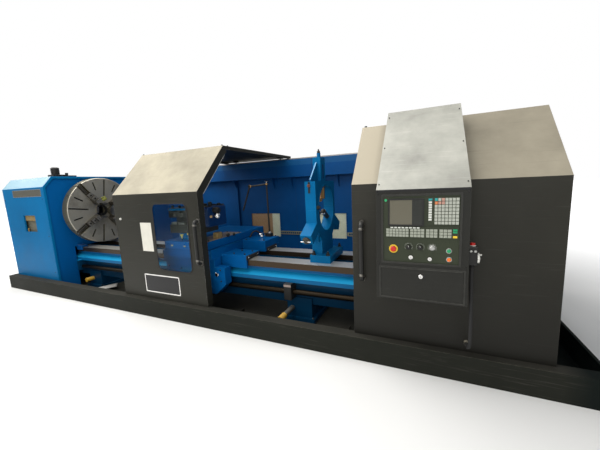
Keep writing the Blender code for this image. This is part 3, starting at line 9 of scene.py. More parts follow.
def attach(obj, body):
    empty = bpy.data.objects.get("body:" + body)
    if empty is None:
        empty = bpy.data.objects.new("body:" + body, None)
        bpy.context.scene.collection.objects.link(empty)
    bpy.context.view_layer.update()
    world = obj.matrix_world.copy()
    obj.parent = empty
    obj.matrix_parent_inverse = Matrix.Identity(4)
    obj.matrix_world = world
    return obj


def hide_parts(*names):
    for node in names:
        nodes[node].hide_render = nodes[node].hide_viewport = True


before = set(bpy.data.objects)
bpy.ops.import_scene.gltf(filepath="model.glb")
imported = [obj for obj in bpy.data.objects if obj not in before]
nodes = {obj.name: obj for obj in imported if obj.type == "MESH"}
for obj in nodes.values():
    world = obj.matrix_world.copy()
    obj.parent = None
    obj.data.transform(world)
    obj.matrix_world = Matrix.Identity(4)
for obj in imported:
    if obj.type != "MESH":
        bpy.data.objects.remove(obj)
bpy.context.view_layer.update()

spindle = {"y": -0.42, "z": 1.30}
# The clearance between a trim and the face that carries it.
hair = 0.0003


# Helpers for shader trees.

def newGroup(name, inputs, outputs):
    tree = bpy.data.node_groups.new(name, "ShaderNodeTree")
    for label, kind, value in inputs:
        made = tree.interface.new_socket(name=label, in_out="INPUT", socket_type="NodeSocket" + kind)
        if value is not None:
            made.default_value = value
    for label, kind in outputs:
        tree.interface.new_socket(name=label, in_out="OUTPUT", socket_type="NodeSocket" + kind)
    return tree, tree.nodes.new("NodeGroupInput"), tree.nodes.new("NodeGroupOutput")


def addNode(tree, kind, links=None, **values):
    made = tree.nodes.new("ShaderNode" + kind)
    for name, value in values.items():
        if hasattr(made, name):
            setattr(made, name, value)
        else:
            made.inputs[name.replace("_", " ")].default_value = value
    for name, source in (links or {}).items():
        tree.links.new(source, made.inputs[name])
    return made


def mathNode(tree, kind, first, second=None, third=None, clamp=False):
    made = tree.nodes.new("ShaderNodeMath")
    made.operation = kind
    made.use_clamp = clamp
    for place, value in enumerate((first, second, third)):
        if value is None:
            continue
        if isinstance(value, (int, float)):
            made.inputs[place].default_value = value
        else:
            tree.links.new(value, made.inputs[place])
    return made.outputs[0]


def rangedNode(tree, source, low, high, toLow=0.0, toHigh=1.0):
    made = addNode(tree, "MapRange", {0: source}, clamp=True)
    for label, value in (("From Min", low), ("From Max", high), ("To Min", toLow), ("To Max", toHigh)):
        made.inputs[label].default_value = value
    return made.outputs[0]


def edgeWearGroup():
    tree, inside, outside = newGroup("edgeWear", [("Radius", "Float", 0.004), ("Scale", "Float", 40.0),
        ("Amount", "Float", 0.5)], [("Mask", "Float")])
    geometry = addNode(tree, "NewGeometry")
    bevel = addNode(tree, "Bevel", {"Radius": inside.outputs["Radius"]}, samples=4)
    dot = addNode(tree, "VectorMath", {0: geometry.outputs["Normal"], 1: bevel.outputs["Normal"]},
        operation="DOT_PRODUCT")
    edge = mathNode(tree, "MULTIPLY", mathNode(tree, "SUBTRACT", 1.0, dot.outputs["Value"]), 9.0, clamp=True)
    spot = addNode(tree, "TexCoord")
    noise = addNode(tree, "TexNoise", {"Vector": spot.outputs["Object"], "Scale": inside.outputs["Scale"]},
        Detail=5.0, Roughness=0.7)
    broken = mathNode(tree, "MULTIPLY", mathNode(tree, "SUBTRACT", noise.outputs["Fac"], 0.42), 6.0, clamp=True)
    mask = mathNode(tree, "MULTIPLY", mathNode(tree, "MULTIPLY", edge, broken), inside.outputs["Amount"],
        clamp=True)
    tree.links.new(mask, outside.inputs["Mask"])
    return tree


# A pale film on up-facing faces: real dust on most finishes, and on the doors and the hood a painted sheen of light
# from above.
def dustAndSheenGroup():
    tree, inside, outside = newGroup("dustAndSheenFilm", [("Scale", "Float", 3.0), ("Amount", "Float", 0.5)],
        [("Mask", "Float")])
    geometry = addNode(tree, "NewGeometry")
    parts = addNode(tree, "SeparateXYZ", {0: geometry.outputs["Normal"]})
    up = mathNode(tree, "MULTIPLY", mathNode(tree, "SUBTRACT", parts.outputs["Z"], 0.15), 1.6, clamp=True)
    spot = addNode(tree, "TexCoord")
    cloud = addNode(tree, "TexNoise", {"Vector": spot.outputs["Object"], "Scale": inside.outputs["Scale"]},
        Detail=6.0, Roughness=0.62)
    soft = rangedNode(tree, cloud.outputs["Fac"], 0.3, 0.62, 0.55)
    mask = mathNode(tree, "MULTIPLY", mathNode(tree, "MULTIPLY", up, soft), inside.outputs["Amount"],
        clamp=True)
    tree.links.new(mask, outside.inputs["Mask"])
    return tree


def grainGroup():
    tree, inside, outside = newGroup("paintGrain", [("Scale", "Float", 300.0), ("Large Scale", "Float", 2.0)],
        [("Height", "Float"), ("Patches", "Float")])
    spot = addNode(tree, "TexCoord")
    fine = addNode(tree, "TexNoise", {"Vector": spot.outputs["Object"], "Scale": inside.outputs["Scale"]},
        Detail=3.0, Roughness=0.6)
    large = addNode(tree, "TexNoise", {"Vector": spot.outputs["Object"],
        "Scale": inside.outputs["Large Scale"]}, Detail=5.0, Roughness=0.6)
    tree.links.new(fine.outputs["Fac"], outside.inputs["Height"])
    tree.links.new(large.outputs["Fac"], outside.inputs["Patches"])
    return tree


def scratchGroup():
    tree, inside, outside = newGroup("fineScratches", [("Scale", "Float", 6.0),
        ("Stretch", "Vector", (1, 30, 30)), ("Amount", "Float", 0.5)], [("Mask", "Float")])
    spot = addNode(tree, "TexCoord")
    pull = addNode(tree, "VectorMath", {0: spot.outputs["Object"], 1: inside.outputs["Stretch"]},
        operation="MULTIPLY")
    lines = addNode(tree, "TexNoise", {"Vector": pull.outputs[0], "Scale": inside.outputs["Scale"]},
        Detail=2.0, Roughness=0.8, Distortion=0.4)
    thin = mathNode(tree, "MULTIPLY", mathNode(tree, "SUBTRACT", lines.outputs["Fac"], 0.6), 9.0, clamp=True)
    mask = mathNode(tree, "MULTIPLY", thin, inside.outputs["Amount"], clamp=True)
    tree.links.new(mask, outside.inputs["Mask"])
    return tree


def brushedGroup():
    tree, inside, outside = newGroup("brushedLines", [("Scale", "Float", 20.0),
        ("Stretch", "Vector", (1, 40, 40))], [("Lines", "Float")])
    spot = addNode(tree, "TexCoord")
    pull = addNode(tree, "VectorMath", {0: spot.outputs["Object"], 1: inside.outputs["Stretch"]},
        operation="MULTIPLY")
    lines = addNode(tree, "TexNoise", {"Vector": pull.outputs[0], "Scale": inside.outputs["Scale"]},
        Detail=4.0, Roughness=0.7)
    tree.links.new(lines.outputs["Fac"], outside.inputs["Lines"])
    return tree


groups = {"wear": edgeWearGroup(), "dustAndSheen": dustAndSheenGroup(), "grain": grainGroup(), "scratch": scratchGroup(),
    "brushed": brushedGroup()}
print("shader groups ready")


def useGroup(tree, key, **values):
    made = tree.nodes.new("ShaderNodeGroup")
    made.node_tree = groups[key]
    for name, value in values.items():
        made.inputs[name.replace("_", " ")].default_value = value
    return made


def mixColour(tree, factor, first, second):
    made = tree.nodes.new("ShaderNodeMix")
    made.data_type = "RGBA"
    tree.links.new(factor, made.inputs[0])
    for place, value in ((6, first), (7, second)):
        if isinstance(value, tuple):
            made.inputs[place].default_value = (*value[:3], 1.0)
        else:
            tree.links.new(value, made.inputs[place])
    return made.outputs[2]


def mixValue(tree, factor, first, second):
    made = tree.nodes.new("ShaderNodeMix")
    tree.links.new(factor, made.inputs[0])
    for place, value in ((2, first), (3, second)):
        if isinstance(value, (int, float)):
            made.inputs[place].default_value = value
        else:
            tree.links.new(value, made.inputs[place])
    return made.outputs[0]


def startMaterial(name):
    made = bpy.data.materials.new(name)
    made.use_nodes = True
    tree = made.node_tree
    return made, tree, tree.nodes["Principled BSDF"]


def scaled(colour, factor):
    return tuple(min(1.0, value * factor) for value in colour)


def zoneTint(tree, colour, zones):
    # A zone fades in along one axis, on faces that are turned to one side, towards its tint.
    if not zones:
        return colour
    spot = addNode(tree, "TexCoord")
    place = addNode(tree, "SeparateXYZ", {0: spot.outputs["Object"]})
    geometry = addNode(tree, "NewGeometry")
    facing = addNode(tree, "SeparateXYZ", {0: geometry.outputs["Normal"]})
    for zone in zones:
        fade = rangedNode(tree, place.outputs[zone["along"]], *zone["span"])
        turned = mathNode(tree, "MULTIPLY", facing.outputs[zone["facing"]], zone.get("side", 1))
        turned = mathNode(tree, "GREATER_THAN", turned, zone["over"])
        colour = mixColour(tree, mathNode(tree, "MULTIPLY", fade, turned), colour, zone["tint"])
    return colour


def paintedMetal(name, look):
    made, tree, shader = startMaterial(name)
    base = look["colour"]
    grain = useGroup(tree, "grain", Scale=look.get("grainScale", 260.0), Large_Scale=1.6)
    wear = useGroup(tree, "wear", Radius=0.004, Scale=30.0, Amount=look.get("wear", 0.35))
    dustAndSheen = useGroup(tree, "dustAndSheen", Scale=look.get("dustAndSheenScale", 2.5), Amount=look.get("dustAndSheen", 0.15))
    scratch = useGroup(tree, "scratch", Scale=look.get("scratchScale", 3.0), Amount=look.get("scratch", 0.2))
    patches = rangedNode(tree, grain.outputs["Patches"], 0.32, 0.68)
    paint = mixColour(tree, patches, scaled(base, 0.88), scaled(base, 1.12))
    # Dust on up-facing faces; on the doors and the hood this mix is a painted sheen of light from above.
    dustedAndSheened = mixColour(tree, dustAndSheen.outputs["Mask"], paint, look.get("dustAndSheenColour", (0.36, 0.34, 0.3)))
    scuffed = mixColour(tree, scratch.outputs["Mask"], dustedAndSheened, look.get("scuffColour", scaled(base, 1.9)))
    worn = mixColour(tree, wear.outputs["Mask"], scuffed, look.get("wearColour", scaled(base, 3.0)))
    tree.links.new(zoneTint(tree, worn, look.get("zones", ())), shader.inputs["Base Color"])
    rough = mixValue(tree, patches, look["rough"] - 0.05, look["rough"] + 0.07)
    rough = mixValue(tree, dustAndSheen.outputs["Mask"], rough, min(0.9, look["rough"] + 0.25))
    tree.links.new(rough, shader.inputs["Roughness"])
    shader.inputs["Specular IOR Level"].default_value = look.get("spec", 0.2)
    bump = addNode(tree, "Bump", {"Height": grain.outputs["Height"]}, Strength=look.get("bump", 0.15),
        Distance=0.0008)
    tree.links.new(bump.outputs[0], shader.inputs["Normal"])
    return made


def brushedMetal(name, look):
    made, tree, shader = startMaterial(name)
    base = look["colour"]
    lines = useGroup(tree, "brushed", Scale=look.get("lineScale", 12.0),
        Stretch=look.get("stretch", (1, 40, 40)))
    grain = useGroup(tree, "grain", Scale=90.0, Large_Scale=3.0)
    wear = useGroup(tree, "wear", Radius=0.002, Scale=60.0, Amount=0.3)
    tone = mixColour(tree, lines.outputs["Lines"], scaled(base, 0.8), scaled(base, 1.15))
    stained = rangedNode(tree, grain.outputs["Patches"], 0.52, 0.75, 0.0, look.get("stain", 0.25))
    toned = mixColour(tree, stained, tone, look.get("stainColour", (0.12, 0.09, 0.06)))
    shine = mixColour(tree, wear.outputs["Mask"], toned, scaled(base, 1.35))
    tree.links.new(zoneTint(tree, shine, look.get("zones", ())), shader.inputs["Base Color"])
    tree.links.new(mixValue(tree, lines.outputs["Lines"], look["rough"] - 0.08, look["rough"] + 0.12),
        shader.inputs["Roughness"])
    shader.inputs["Metallic"].default_value = look.get("metal", 1.0)
    bump = addNode(tree, "Bump", {"Height": lines.outputs["Lines"]}, Strength=look.get("bump", 0.08),
        Distance=0.0004)
    tree.links.new(bump.outputs[0], shader.inputs["Normal"])
    return made


def mouldedPlastic(name, look):
    made, tree, shader = startMaterial(name)
    base = look["colour"]
    grain = useGroup(tree, "grain", Scale=look.get("grainScale", 900.0), Large_Scale=20.0)
    dustAndSheen = useGroup(tree, "dustAndSheen", Scale=12.0, Amount=0.08)
    tone = mixColour(tree, grain.outputs["Patches"], scaled(base, 0.9), scaled(base, 1.12))
    tree.links.new(mixColour(tree, dustAndSheen.outputs["Mask"], tone, (0.34, 0.33, 0.3)), shader.inputs["Base Color"])
    tree.links.new(mixValue(tree, grain.outputs["Patches"], look["rough"] - 0.05, look["rough"] + 0.08),
        shader.inputs["Roughness"])
    shader.inputs["Metallic"].default_value = look.get("metal", 0.0)
    shader.inputs["Specular IOR Level"].default_value = 0.3
    shader.inputs["Coat Weight"].default_value = look.get("coat", 0.0)
    bump = addNode(tree, "Bump", {"Height": grain.outputs["Height"]}, Strength=look.get("bump", 0.1),
        Distance=0.0002)
    tree.links.new(bump.outputs[0], shader.inputs["Normal"])
    return made


def clearSheet(name, look):
    made, tree, shader = startMaterial(name)
    grain = useGroup(tree, "grain", Scale=40.0, Large_Scale=3.0)
    scratch = useGroup(tree, "scratch", Scale=8.0, Amount=0.6)
    tree.links.new(mixColour(tree, grain.outputs["Patches"], look["colour"], scaled(look["colour"], 0.92)),
        shader.inputs["Base Color"])
    tree.links.new(mixValue(tree, scratch.outputs["Mask"], look["rough"], 0.35), shader.inputs["Roughness"])
    shader.inputs["Transmission Weight"].default_value = 1.0
    shader.inputs["IOR"].default_value = 1.15
    return made


def bedCasting(name, paint, steel):
    # Blue casting below, and bright ground ways above the undercut.
    made, tree, shader = startMaterial(name)
    spot = addNode(tree, "TexCoord")
    place = addNode(tree, "SeparateXYZ", {0: spot.outputs["Object"]})
    geometry = addNode(tree, "NewGeometry")
    facing = addNode(tree, "SeparateXYZ", {0: geometry.outputs["Normal"]})
    mask = mathNode(tree, "GREATER_THAN", place.outputs["Z"], steel["from"])
    grain = useGroup(tree, "grain", Scale=200.0, Large_Scale=2.5)
    lines = useGroup(tree, "brushed", Scale=9.0, Stretch=(0.6, 40, 40))
    dustAndSheen = useGroup(tree, "dustAndSheen", Scale=4.0, Amount=paint["dustAndSheen"])
    scratch = useGroup(tree, "scratch", Scale=5.0, Amount=0.5)
    wear = useGroup(tree, "wear", Radius=0.004, Scale=30.0, Amount=0.4)
    blue = mixColour(tree, grain.outputs["Patches"], scaled(paint["colour"], 0.8),
        scaled(paint["colour"], 1.15))
    blue = mixColour(tree, dustAndSheen.outputs["Mask"], blue, (0.3, 0.28, 0.25))
    blue = mixColour(tree, wear.outputs["Mask"], blue, scaled(paint["colour"], 2.2))
    bright = mixColour(tree, lines.outputs["Lines"], scaled(steel["colour"], 0.72),
        scaled(steel["colour"], 1.15))
    bright = mixColour(tree, scratch.outputs["Mask"], bright, (0.2, 0.15, 0.1))
    polished = rangedNode(tree, place.outputs["X"], *steel["polished"])
    bright = mixColour(tree, polished, bright, scaled(steel["colour"], 1.6))
    upright = mathNode(tree, "GREATER_THAN", mathNode(tree, "ABSOLUTE", facing.outputs["Y"]), 0.7)
    bright = mixColour(tree, upright, bright, steel["side"])
    # Up-facing blue faces get a painted highlight of light from above.
    litFromAbove = mathNode(tree, "GREATER_THAN", facing.outputs["Z"], 0.3)
    blue = mixColour(tree, litFromAbove, blue, paint["slope"])
    # The blue below the ledge is darkened with painted shade.
    under = mathNode(tree, "LESS_THAN", place.outputs["Z"], paint["under"])
    blue = mixColour(tree, under, blue, scaled(paint["colour"], 0.25))
    tree.links.new(mixColour(tree, mask, blue, bright), shader.inputs["Base Color"])
    tree.links.new(mixValue(tree, mask, paint["rough"], mixValue(tree, lines.outputs["Lines"], 0.22, 0.42)),
        shader.inputs["Roughness"])
    tree.links.new(mathNode(tree, "MULTIPLY", mask, 0.7), shader.inputs["Metallic"])
    shader.inputs["Specular IOR Level"].default_value = 0.2
    bump = addNode(tree, "Bump", {"Height": grain.outputs["Height"]}, Strength=0.18, Distance=0.001)
    tree.links.new(bump.outputs[0], shader.inputs["Normal"])
    return made


def screenGlass(name, look):
    # A dark display whose left part carries a painted reflection, a dim warm-grey area.
    made, tree, shader = startMaterial(name)
    spot = addNode(tree, "TexCoord")
    place = addNode(tree, "SeparateXYZ", {0: spot.outputs["Object"]})
    left = mathNode(tree, "LESS_THAN", place.outputs["X"], look["edge"])
    tree.links.new(mixColour(tree, left, look["colour"], look["paintedReflection"]), shader.inputs["Base Color"])
    shader.inputs["Roughness"].default_value = look["rough"]
    shader.inputs["Coat Weight"].default_value = 0.5
    return made


blue = (0.0018, 0.128, 0.315)
blueLook = {"colour": blue, "rough": 0.36, "spec": 0.05, "wear": 0.45, "wearColour": (0.06, 0.36, 0.58),
    "dustAndSheen": 0.0, "scratch": 0.1, "scuffColour": (0.02, 0.22, 0.4), "bump": 0.12}
darkGrey = (0.024, 0.0235, 0.018)
paintedLooks = {
    "bluePaint": blueLook,
    "coverBlue": {**blueLook, "zones": (
        # Front-facing faces above the front's top edge, the chamfer, carry a painted highlight.
        {"along": "Z", "span": (1.737, 1.739), "facing": "Y", "side": -1, "over": 0.4, "tint": (0.22, 0.38, 0.47)},
        # Faces turned right at the right end carry painted shade, a deeper blue.
        {"along": "X", "span": (-2.8, -2.7), "facing": "X", "over": 0.9, "tint": (0.0015, 0.092, 0.3)})},
    # A copy of the blue paint with painted shade, for the saddle, apron and cross-slide.
    "shadedBlue": {**blueLook, "colour": (0.0012, 0.092, 0.3)},
    "guardBlue": {"colour": (0.001, 0.058, 0.205), "rough": 0.42, "spec": 0.12, "wear": 0.3,
        "wearColour": (0.03, 0.18, 0.38), "dustAndSheen": 0.1, "scratch": 0.15, "scuffColour": (0.01, 0.09, 0.26)},
    # Door one's pale film on up-facing faces is a painted sheen of light from above.
    "doorOne": {"colour": darkGrey, "rough": 0.46, "wear": 0.7, "wearColour": (0.45, 0.44, 0.41), "dustAndSheen": 1.0,
        "dustAndSheenColour": (0.5, 0.455, 0.345), "dustAndSheenScale": 1.3, "scratch": 0.18, "scuffColour": (0.1, 0.1, 0.09),
        "grainScale": 420.0, "bump": 0.22},
    # Door two's pale film on up-facing faces is a painted sheen of light from above.
    "doorTwo": {"colour": (0.028, 0.027, 0.021), "rough": 0.46, "wear": 0.6, "wearColour": (0.26, 0.25, 0.21),
        "dustAndSheen": 0.8, "dustAndSheenColour": (0.5, 0.45, 0.345), "dustAndSheenScale": 1.1, "scratch": 0.15,
        "scuffColour": (0.09, 0.09, 0.08), "grainScale": 420.0, "bump": 0.22,
        "zones": (
            # Up-facing faces left of the hood get a stronger painted highlight.
            {"along": "X", "span": (2.5, 2.4), "facing": "Z", "over": 0.3, "tint": (0.43, 0.385, 0.295)},
            # Front faces fade darker towards the bottom.
            {"along": "Z", "span": (1.1, 0.0), "facing": "Y", "side": -1, "over": 0.9,
             "tint": (0.008, 0.0075, 0.006)})},
    # The hood's pale film on up-facing faces is a painted sheen of light from above.
    "hoodPaint": {"colour": (0.036, 0.035, 0.031), "rough": 0.38, "wear": 0.8, "spec": 0.5,
        "wearColour": (0.42, 0.42, 0.4), "dustAndSheen": 0.95, "dustAndSheenColour": (0.62, 0.62, 0.55), "dustAndSheenScale": 2.2,
        "scratch": 0.25, "scratchScale": 4.0, "scuffColour": (0.66, 0.65, 0.6), "grainScale": 420.0,
        "bump": 0.2},
    "boxPaint": {"colour": (0.021, 0.021, 0.018), "rough": 0.45, "wear": 0.5,
        "wearColour": (0.14, 0.14, 0.125), "dustAndSheen": 0.2, "scratch": 0.1, "scuffColour": (0.08, 0.08, 0.08),
        "grainScale": 500.0, "bump": 0.2},
    "trayPaint": {"colour": (0.017, 0.018, 0.014), "rough": 0.55, "wear": 0.7,
        "wearColour": (0.12, 0.115, 0.09), "dustAndSheen": 0.45, "spec": 0.08, "dustAndSheenColour": (0.062, 0.058, 0.05),
        "dustAndSheenScale": 3.0, "scratch": 0.35, "scuffColour": (0.075, 0.07, 0.06), "grainScale": 260.0,
        # All faces at the tray's right end, the inner end wall too, carry painted shade.
        "bump": 0.25, "zones": ({"along": "X", "span": (3.7, 3.85), "facing": "Z", "over": -2,
        "tint": (0.006, 0.009, 0.008)},)},
    "motorPaint": {"colour": (0.19, 0.21, 0.21), "rough": 0.5, "wear": 0.4, "wearColour": (0.5, 0.5, 0.48),
        "dustAndSheen": 0.25},
    "barPaint": {"colour": (0.05, 0.05, 0.045), "rough": 0.55, "wear": 0.6, "dustAndSheen": 0.3},
    "yellowPaint": {"colour": (0.62, 0.36, 0.035), "rough": 0.5, "wear": 0.6, "wearColour": (0.3, 0.22, 0.1),
        "dustAndSheen": 0.2},
    "paleLoose": {"colour": (0.5, 0.49, 0.46), "rough": 0.6, "dustAndSheen": 0.3, "scuffColour": (0.25, 0.24, 0.22),
        "wear": 0.2},
    "edgePale": {"colour": (0.55, 0.54, 0.5), "rough": 0.5, "dustAndSheen": 0.2, "wear": 0.2},
    "edgeGrey": {"colour": (0.055, 0.055, 0.048), "rough": 0.45, "dustAndSheen": 0.3},
    "bezelGrey": {"colour": (0.034, 0.034, 0.03), "rough": 0.4, "wear": 0.4, "wearColour": (0.15, 0.15, 0.14),
        "dustAndSheen": 0.1},
    # The holder's dark navy is blue paint with painted shade.
    "holderShadeBlue": {"colour": (0.003, 0.03, 0.115), "rough": 0.4, "wear": 0.9, "wearColour": (0.05, 0.08, 0.12),
        "dustAndSheen": 0.1},
    # A lighter copy of the blue paint, used for painted highlights.
    "highlightBlue": {"colour": (0.07, 0.32, 0.62), "rough": 0.4, "wear": 0.3, "dustAndSheen": 0.3},
    # A lighter blue for the painted light on the guard beam's top band.
    "beamLitBlue": {"colour": (0.004, 0.075, 0.215), "rough": 0.4, "dustAndSheen": 0.1},
}
brushedLooks = {
    "groundSteel": {"colour": (0.6, 0.58, 0.54), "rough": 0.28},
    "chuckIron": {"colour": (0.44, 0.415, 0.345), "rough": 0.42, "stretch": (1, 1, 1), "lineScale": 60.0,
        "metal": 0.75, "stain": 0.55, "stainColour": (0.1, 0.085, 0.06),
        "zones": ({"along": "X", "span": (-2.31, -2.33), "facing": "X", "side": -1, "over": -0.5,
        "tint": (0.18, 0.165, 0.11)},)},
    "jawSteel": {"colour": (0.11, 0.1, 0.083), "rough": 0.36, "stretch": (1, 8, 8), "metal": 0.85,
        "stain": 0.6, "stainColour": (0.05, 0.045, 0.03)},
    "turretIron": {"colour": (0.085, 0.08, 0.068), "rough": 0.42, "metal": 0.6, "stain": 0.4,
        "stainColour": (0.03, 0.028, 0.02)},
    # The feed screw's steel, darkened with painted shade from the bed's ledge.
    "screwSteelShaded": {"colour": (0.03, 0.023, 0.016), "rough": 0.45, "stain": 0.6,
        "stainColour": (0.03, 0.02, 0.012)},
    "chrome": {"colour": (0.8, 0.79, 0.77), "rough": 0.14, "stain": 0.1, "bump": 0.02},
    "brass": {"colour": (0.52, 0.3, 0.12), "rough": 0.34, "stain": 0.4},
    "railSteel": {"colour": (0.42, 0.4, 0.37), "rough": 0.35},
    "slideTop": {"colour": (0.42, 0.32, 0.24), "rough": 0.45, "metal": 0.55, "stain": 0.7,
        "stainColour": (0.2, 0.13, 0.08)},
    "barePlate": {"colour": (0.1, 0.098, 0.078), "rough": 0.5, "metal": 0.3},
    "hubIron": {"colour": (0.2, 0.19, 0.17), "rough": 0.34, "stretch": (1, 1, 1), "lineScale": 40.0,
        "metal": 0.85, "stain": 0.4},
    "jawTooth": {"colour": (0.46, 0.44, 0.39), "rough": 0.34, "stretch": (1, 6, 6), "metal": 0.8, "stain": 0.5,
        "stainColour": (0.06, 0.05, 0.035)},
    "hangerPale": {"colour": (0.56, 0.55, 0.52), "rough": 0.4, "metal": 0.5},
    "galvanised": {"colour": (0.27, 0.265, 0.17), "rough": 0.45, "metal": 0.4, "stain": 0.5,
        "stainColour": (0.08, 0.08, 0.06)},
    "quillDark": {"colour": (0.03, 0.025, 0.02), "rough": 0.45},
}
mouldedLooks = {
    "blackPlastic": {"colour": (0.017, 0.017, 0.016), "rough": 0.42},
    "blackRubber": {"colour": (0.02, 0.02, 0.02), "rough": 0.72, "grainScale": 400.0, "bump": 0.3},
    "panelGrey": {"colour": (0.03, 0.038, 0.02), "rough": 0.5},
    "redPlastic": {"colour": (0.56, 0.015, 0.012), "rough": 0.3, "coat": 0.4},
    "greenPlastic": {"colour": (0.012, 0.3, 0.12), "rough": 0.3, "coat": 0.4},
    "orangePlastic": {"colour": (0.82, 0.17, 0.02), "rough": 0.3, "coat": 0.4},
    "yellowPlastic": {"colour": (0.8, 0.55, 0.04), "rough": 0.4},
    "silverPlastic": {"colour": (0.45, 0.45, 0.43), "rough": 0.3, "metal": 0.6},
    "whitePlastic": {"colour": (0.74, 0.73, 0.68), "rough": 0.42},
    "tealPlastic": {"colour": (0.03, 0.3, 0.3), "rough": 0.42},
    "paleLabel": {"colour": (0.7, 0.68, 0.6), "rough": 0.5},
    "liningBrown": {"colour": (0.24, 0.165, 0.065), "rough": 0.7, "grainScale": 120.0},
    "grease": {"colour": (0.25, 0.26, 0.05), "rough": 0.25, "grainScale": 60.0, "bump": 0.6},
    "liningGrey": {"colour": (0.13, 0.128, 0.095), "rough": 0.6, "grainScale": 90.0},
    "tagPaint": {"colour": (0.34, 0.27, 0.24), "rough": 0.5},
    "badgeBlack": {"colour": (0.012, 0.012, 0.013), "rough": 0.35},
    "keyPale": {"colour": (0.42, 0.44, 0.38), "rough": 0.5},
    "keyWhite": {"colour": (0.66, 0.68, 0.62), "rough": 0.5},
    "keyGrey": {"colour": (0.33, 0.35, 0.29), "rough": 0.5},
    "keyOrange": {"colour": (0.6, 0.2, 0.08), "rough": 0.5},
    "keyRose": {"colour": (0.5, 0.28, 0.22), "rough": 0.5},
    "greenBright": {"colour": (0.03, 0.42, 0.16), "rough": 0.4},
    "tanBit": {"colour": (0.62, 0.38, 0.14), "rough": 0.5},
    "funnelYellow": {"colour": (0.72, 0.58, 0.12), "rough": 0.45},
    "seamDark": {"colour": (0.004, 0.03, 0.1), "rough": 0.6},
    "windowBrown": {"colour": (0.5, 0.26, 0.13), "rough": 0.5},
    "windowCream": {"colour": (0.86, 0.76, 0.56), "rough": 0.5},
    "rustBrown": {"colour": (0.2, 0.07, 0.04), "rough": 0.6, "metal": 0.3},
}
finishes = {
    "clearPane": clearSheet("clearPane", {"colour": (0.82, 0.9, 0.92), "rough": 0.05}),
    "bedCasting": bedCasting("bedCasting",
        {"colour": blue, "rough": 0.42, "dustAndSheen": 0.12, "slope": (0.01, 0.3, 0.58), "under": 0.478},
        {"colour": (0.5, 0.49, 0.455), "from": 0.629, "polished": (0.6, 1.7), "side": (0.06, 0.042, 0.028)}),
    "screenGlass": screenGlass("screenGlass",
        {"colour": (0.02, 0.022, 0.018), "paintedReflection": (0.13, 0.12, 0.085), "edge": 2.72, "rough": 0.2}),
}
for make, looks in ((paintedMetal, paintedLooks), (brushedMetal, brushedLooks), (mouldedPlastic, mouldedLooks)):
    for name, look in looks.items():
        finishes[name] = make(name, look)
print("materials ready")

nodeLooks = {
    "chip_tray": "trayPaint", "bed": "bedCasting", "headstock_housing": "bluePaint", "headstock_cover": "coverBlue",
    "oil_breather": "blackPlastic", "main_motor": "motorPaint", "spindle_bearing_front": "groundSteel",
    "spindle_bearing_rear": "groundSteel", "drive_belt": "blackRubber", "rear_guard": "guardBlue",
    "guard_window_left": "clearPane", "guard_window_right": "clearPane", "door_rail": "railSteel",
    "lifting_bar_left": "barPaint", "lifting_bar_right": "barPaint", "feed_motor": "motorPaint",
    "feed_screw": "screwSteelShaded", "screw_bracket": "blackPlastic", "spindle_shaft": "groundSteel",
    "spindle_pulley": "chuckIron", "chuck_body": "chuckIron", "chuck_jaw_1": "jawSteel", "chuck_jaw_2": "jawSteel",
    "chuck_jaw_3": "jawSteel", "chuck_jaw_4": "jawSteel", "motor_pulley": "chuckIron", "saddle": "shadedBlue",
    "apron": "shadedBlue", "coolant_post": "blackPlastic", "coolant_nozzle": "blackPlastic",
    "cross_slide": "shadedBlue", "turret_base": "bluePaint", "turret_head": "turretIron",
    "steady_frame": "bluePaint", "steady_cap": "bluePaint", "steady_quill_top": "brass",
    "steady_quill_front": "groundSteel", "steady_quill_rear": "turretIron", "tailstock_body": "bluePaint",
    "tailstock_quill": "groundSteel", "live_centre": "groundSteel", "left_door": "doorOne",
    "left_door_window": "clearPane", "left_door_handle": "blackPlastic", "right_door": "doorTwo",
    "right_door_handle": "blackPlastic", "control_box": "boxPaint", "control_hood": "hoodPaint",
    "control_panel": "panelGrey", "e_stop_button": "redPlastic", "start_button": "greenPlastic",
    "stop_button": "orangePlastic", "feed_dial": "blackPlastic", "speed_dial": "blackPlastic",
    "mode_selector": "silverPlastic", "panel_flap": "boxPaint", "pendant_body": "blackPlastic",
    "pendant_wheel": "whitePlastic", "pendant_stop": "redPlastic", "pendant_cord": "blackRubber",
}
# Rounding of each casting's and sheet's edges, in metres.
softEdges = {
    "bed": 0.004, "saddle": 0.006, "apron": 0.006, "cross_slide": 0.004, "turret_base": 0.003, "turret_head": 0.004,
    "steady_frame": 0.006, "steady_cap": 0.005, "tailstock_body": 0.008, "headstock_cover": 0.0016,
    "headstock_housing": 0.006, "left_door": 0.0012, "right_door": 0.0012, "control_box": 0.0012,
    "control_hood": 0.0012, "panel_flap": 0.0008, "chip_tray": 0.003, "rear_guard": 0.0015, "door_rail": 0.002,
    "feed_motor": 0.006, "main_motor": 0.006, "oil_breather": 0.004, "screw_bracket": 0.004,
    "lifting_bar_left": 0.003, "lifting_bar_right": 0.003, "coolant_post": 0.002, "coolant_nozzle": 0.0015,
    "chuck_jaw_1": 0.002, "chuck_jaw_2": 0.002, "chuck_jaw_3": 0.002, "chuck_jaw_4": 0.002,
    "control_panel": 0.0006, "e_stop_button": 0.002, "start_button": 0.001, "stop_button": 0.001,
}


def roundEdges(piece, width, steps=2):
    weld = piece.modifiers.new("weld", "WELD")
    weld.merge_threshold = 2e-05
    edge = piece.modifiers.new("edge", "BEVEL")
    edge.width = width
    edge.segments = steps
    edge.limit_method = "ANGLE"
    edge.angle_limit = math.radians(40)
    edge.use_clamp_overlap = True
    edge.harden_normals = False


for name, look in nodeLooks.items():
    item = nodes[name]
    item.data.materials.clear()
    item.data.materials.append(finishes[look])
    if name in softEdges:
        roundEdges(item, softEdges[name])
print("CAD nodes dressed")

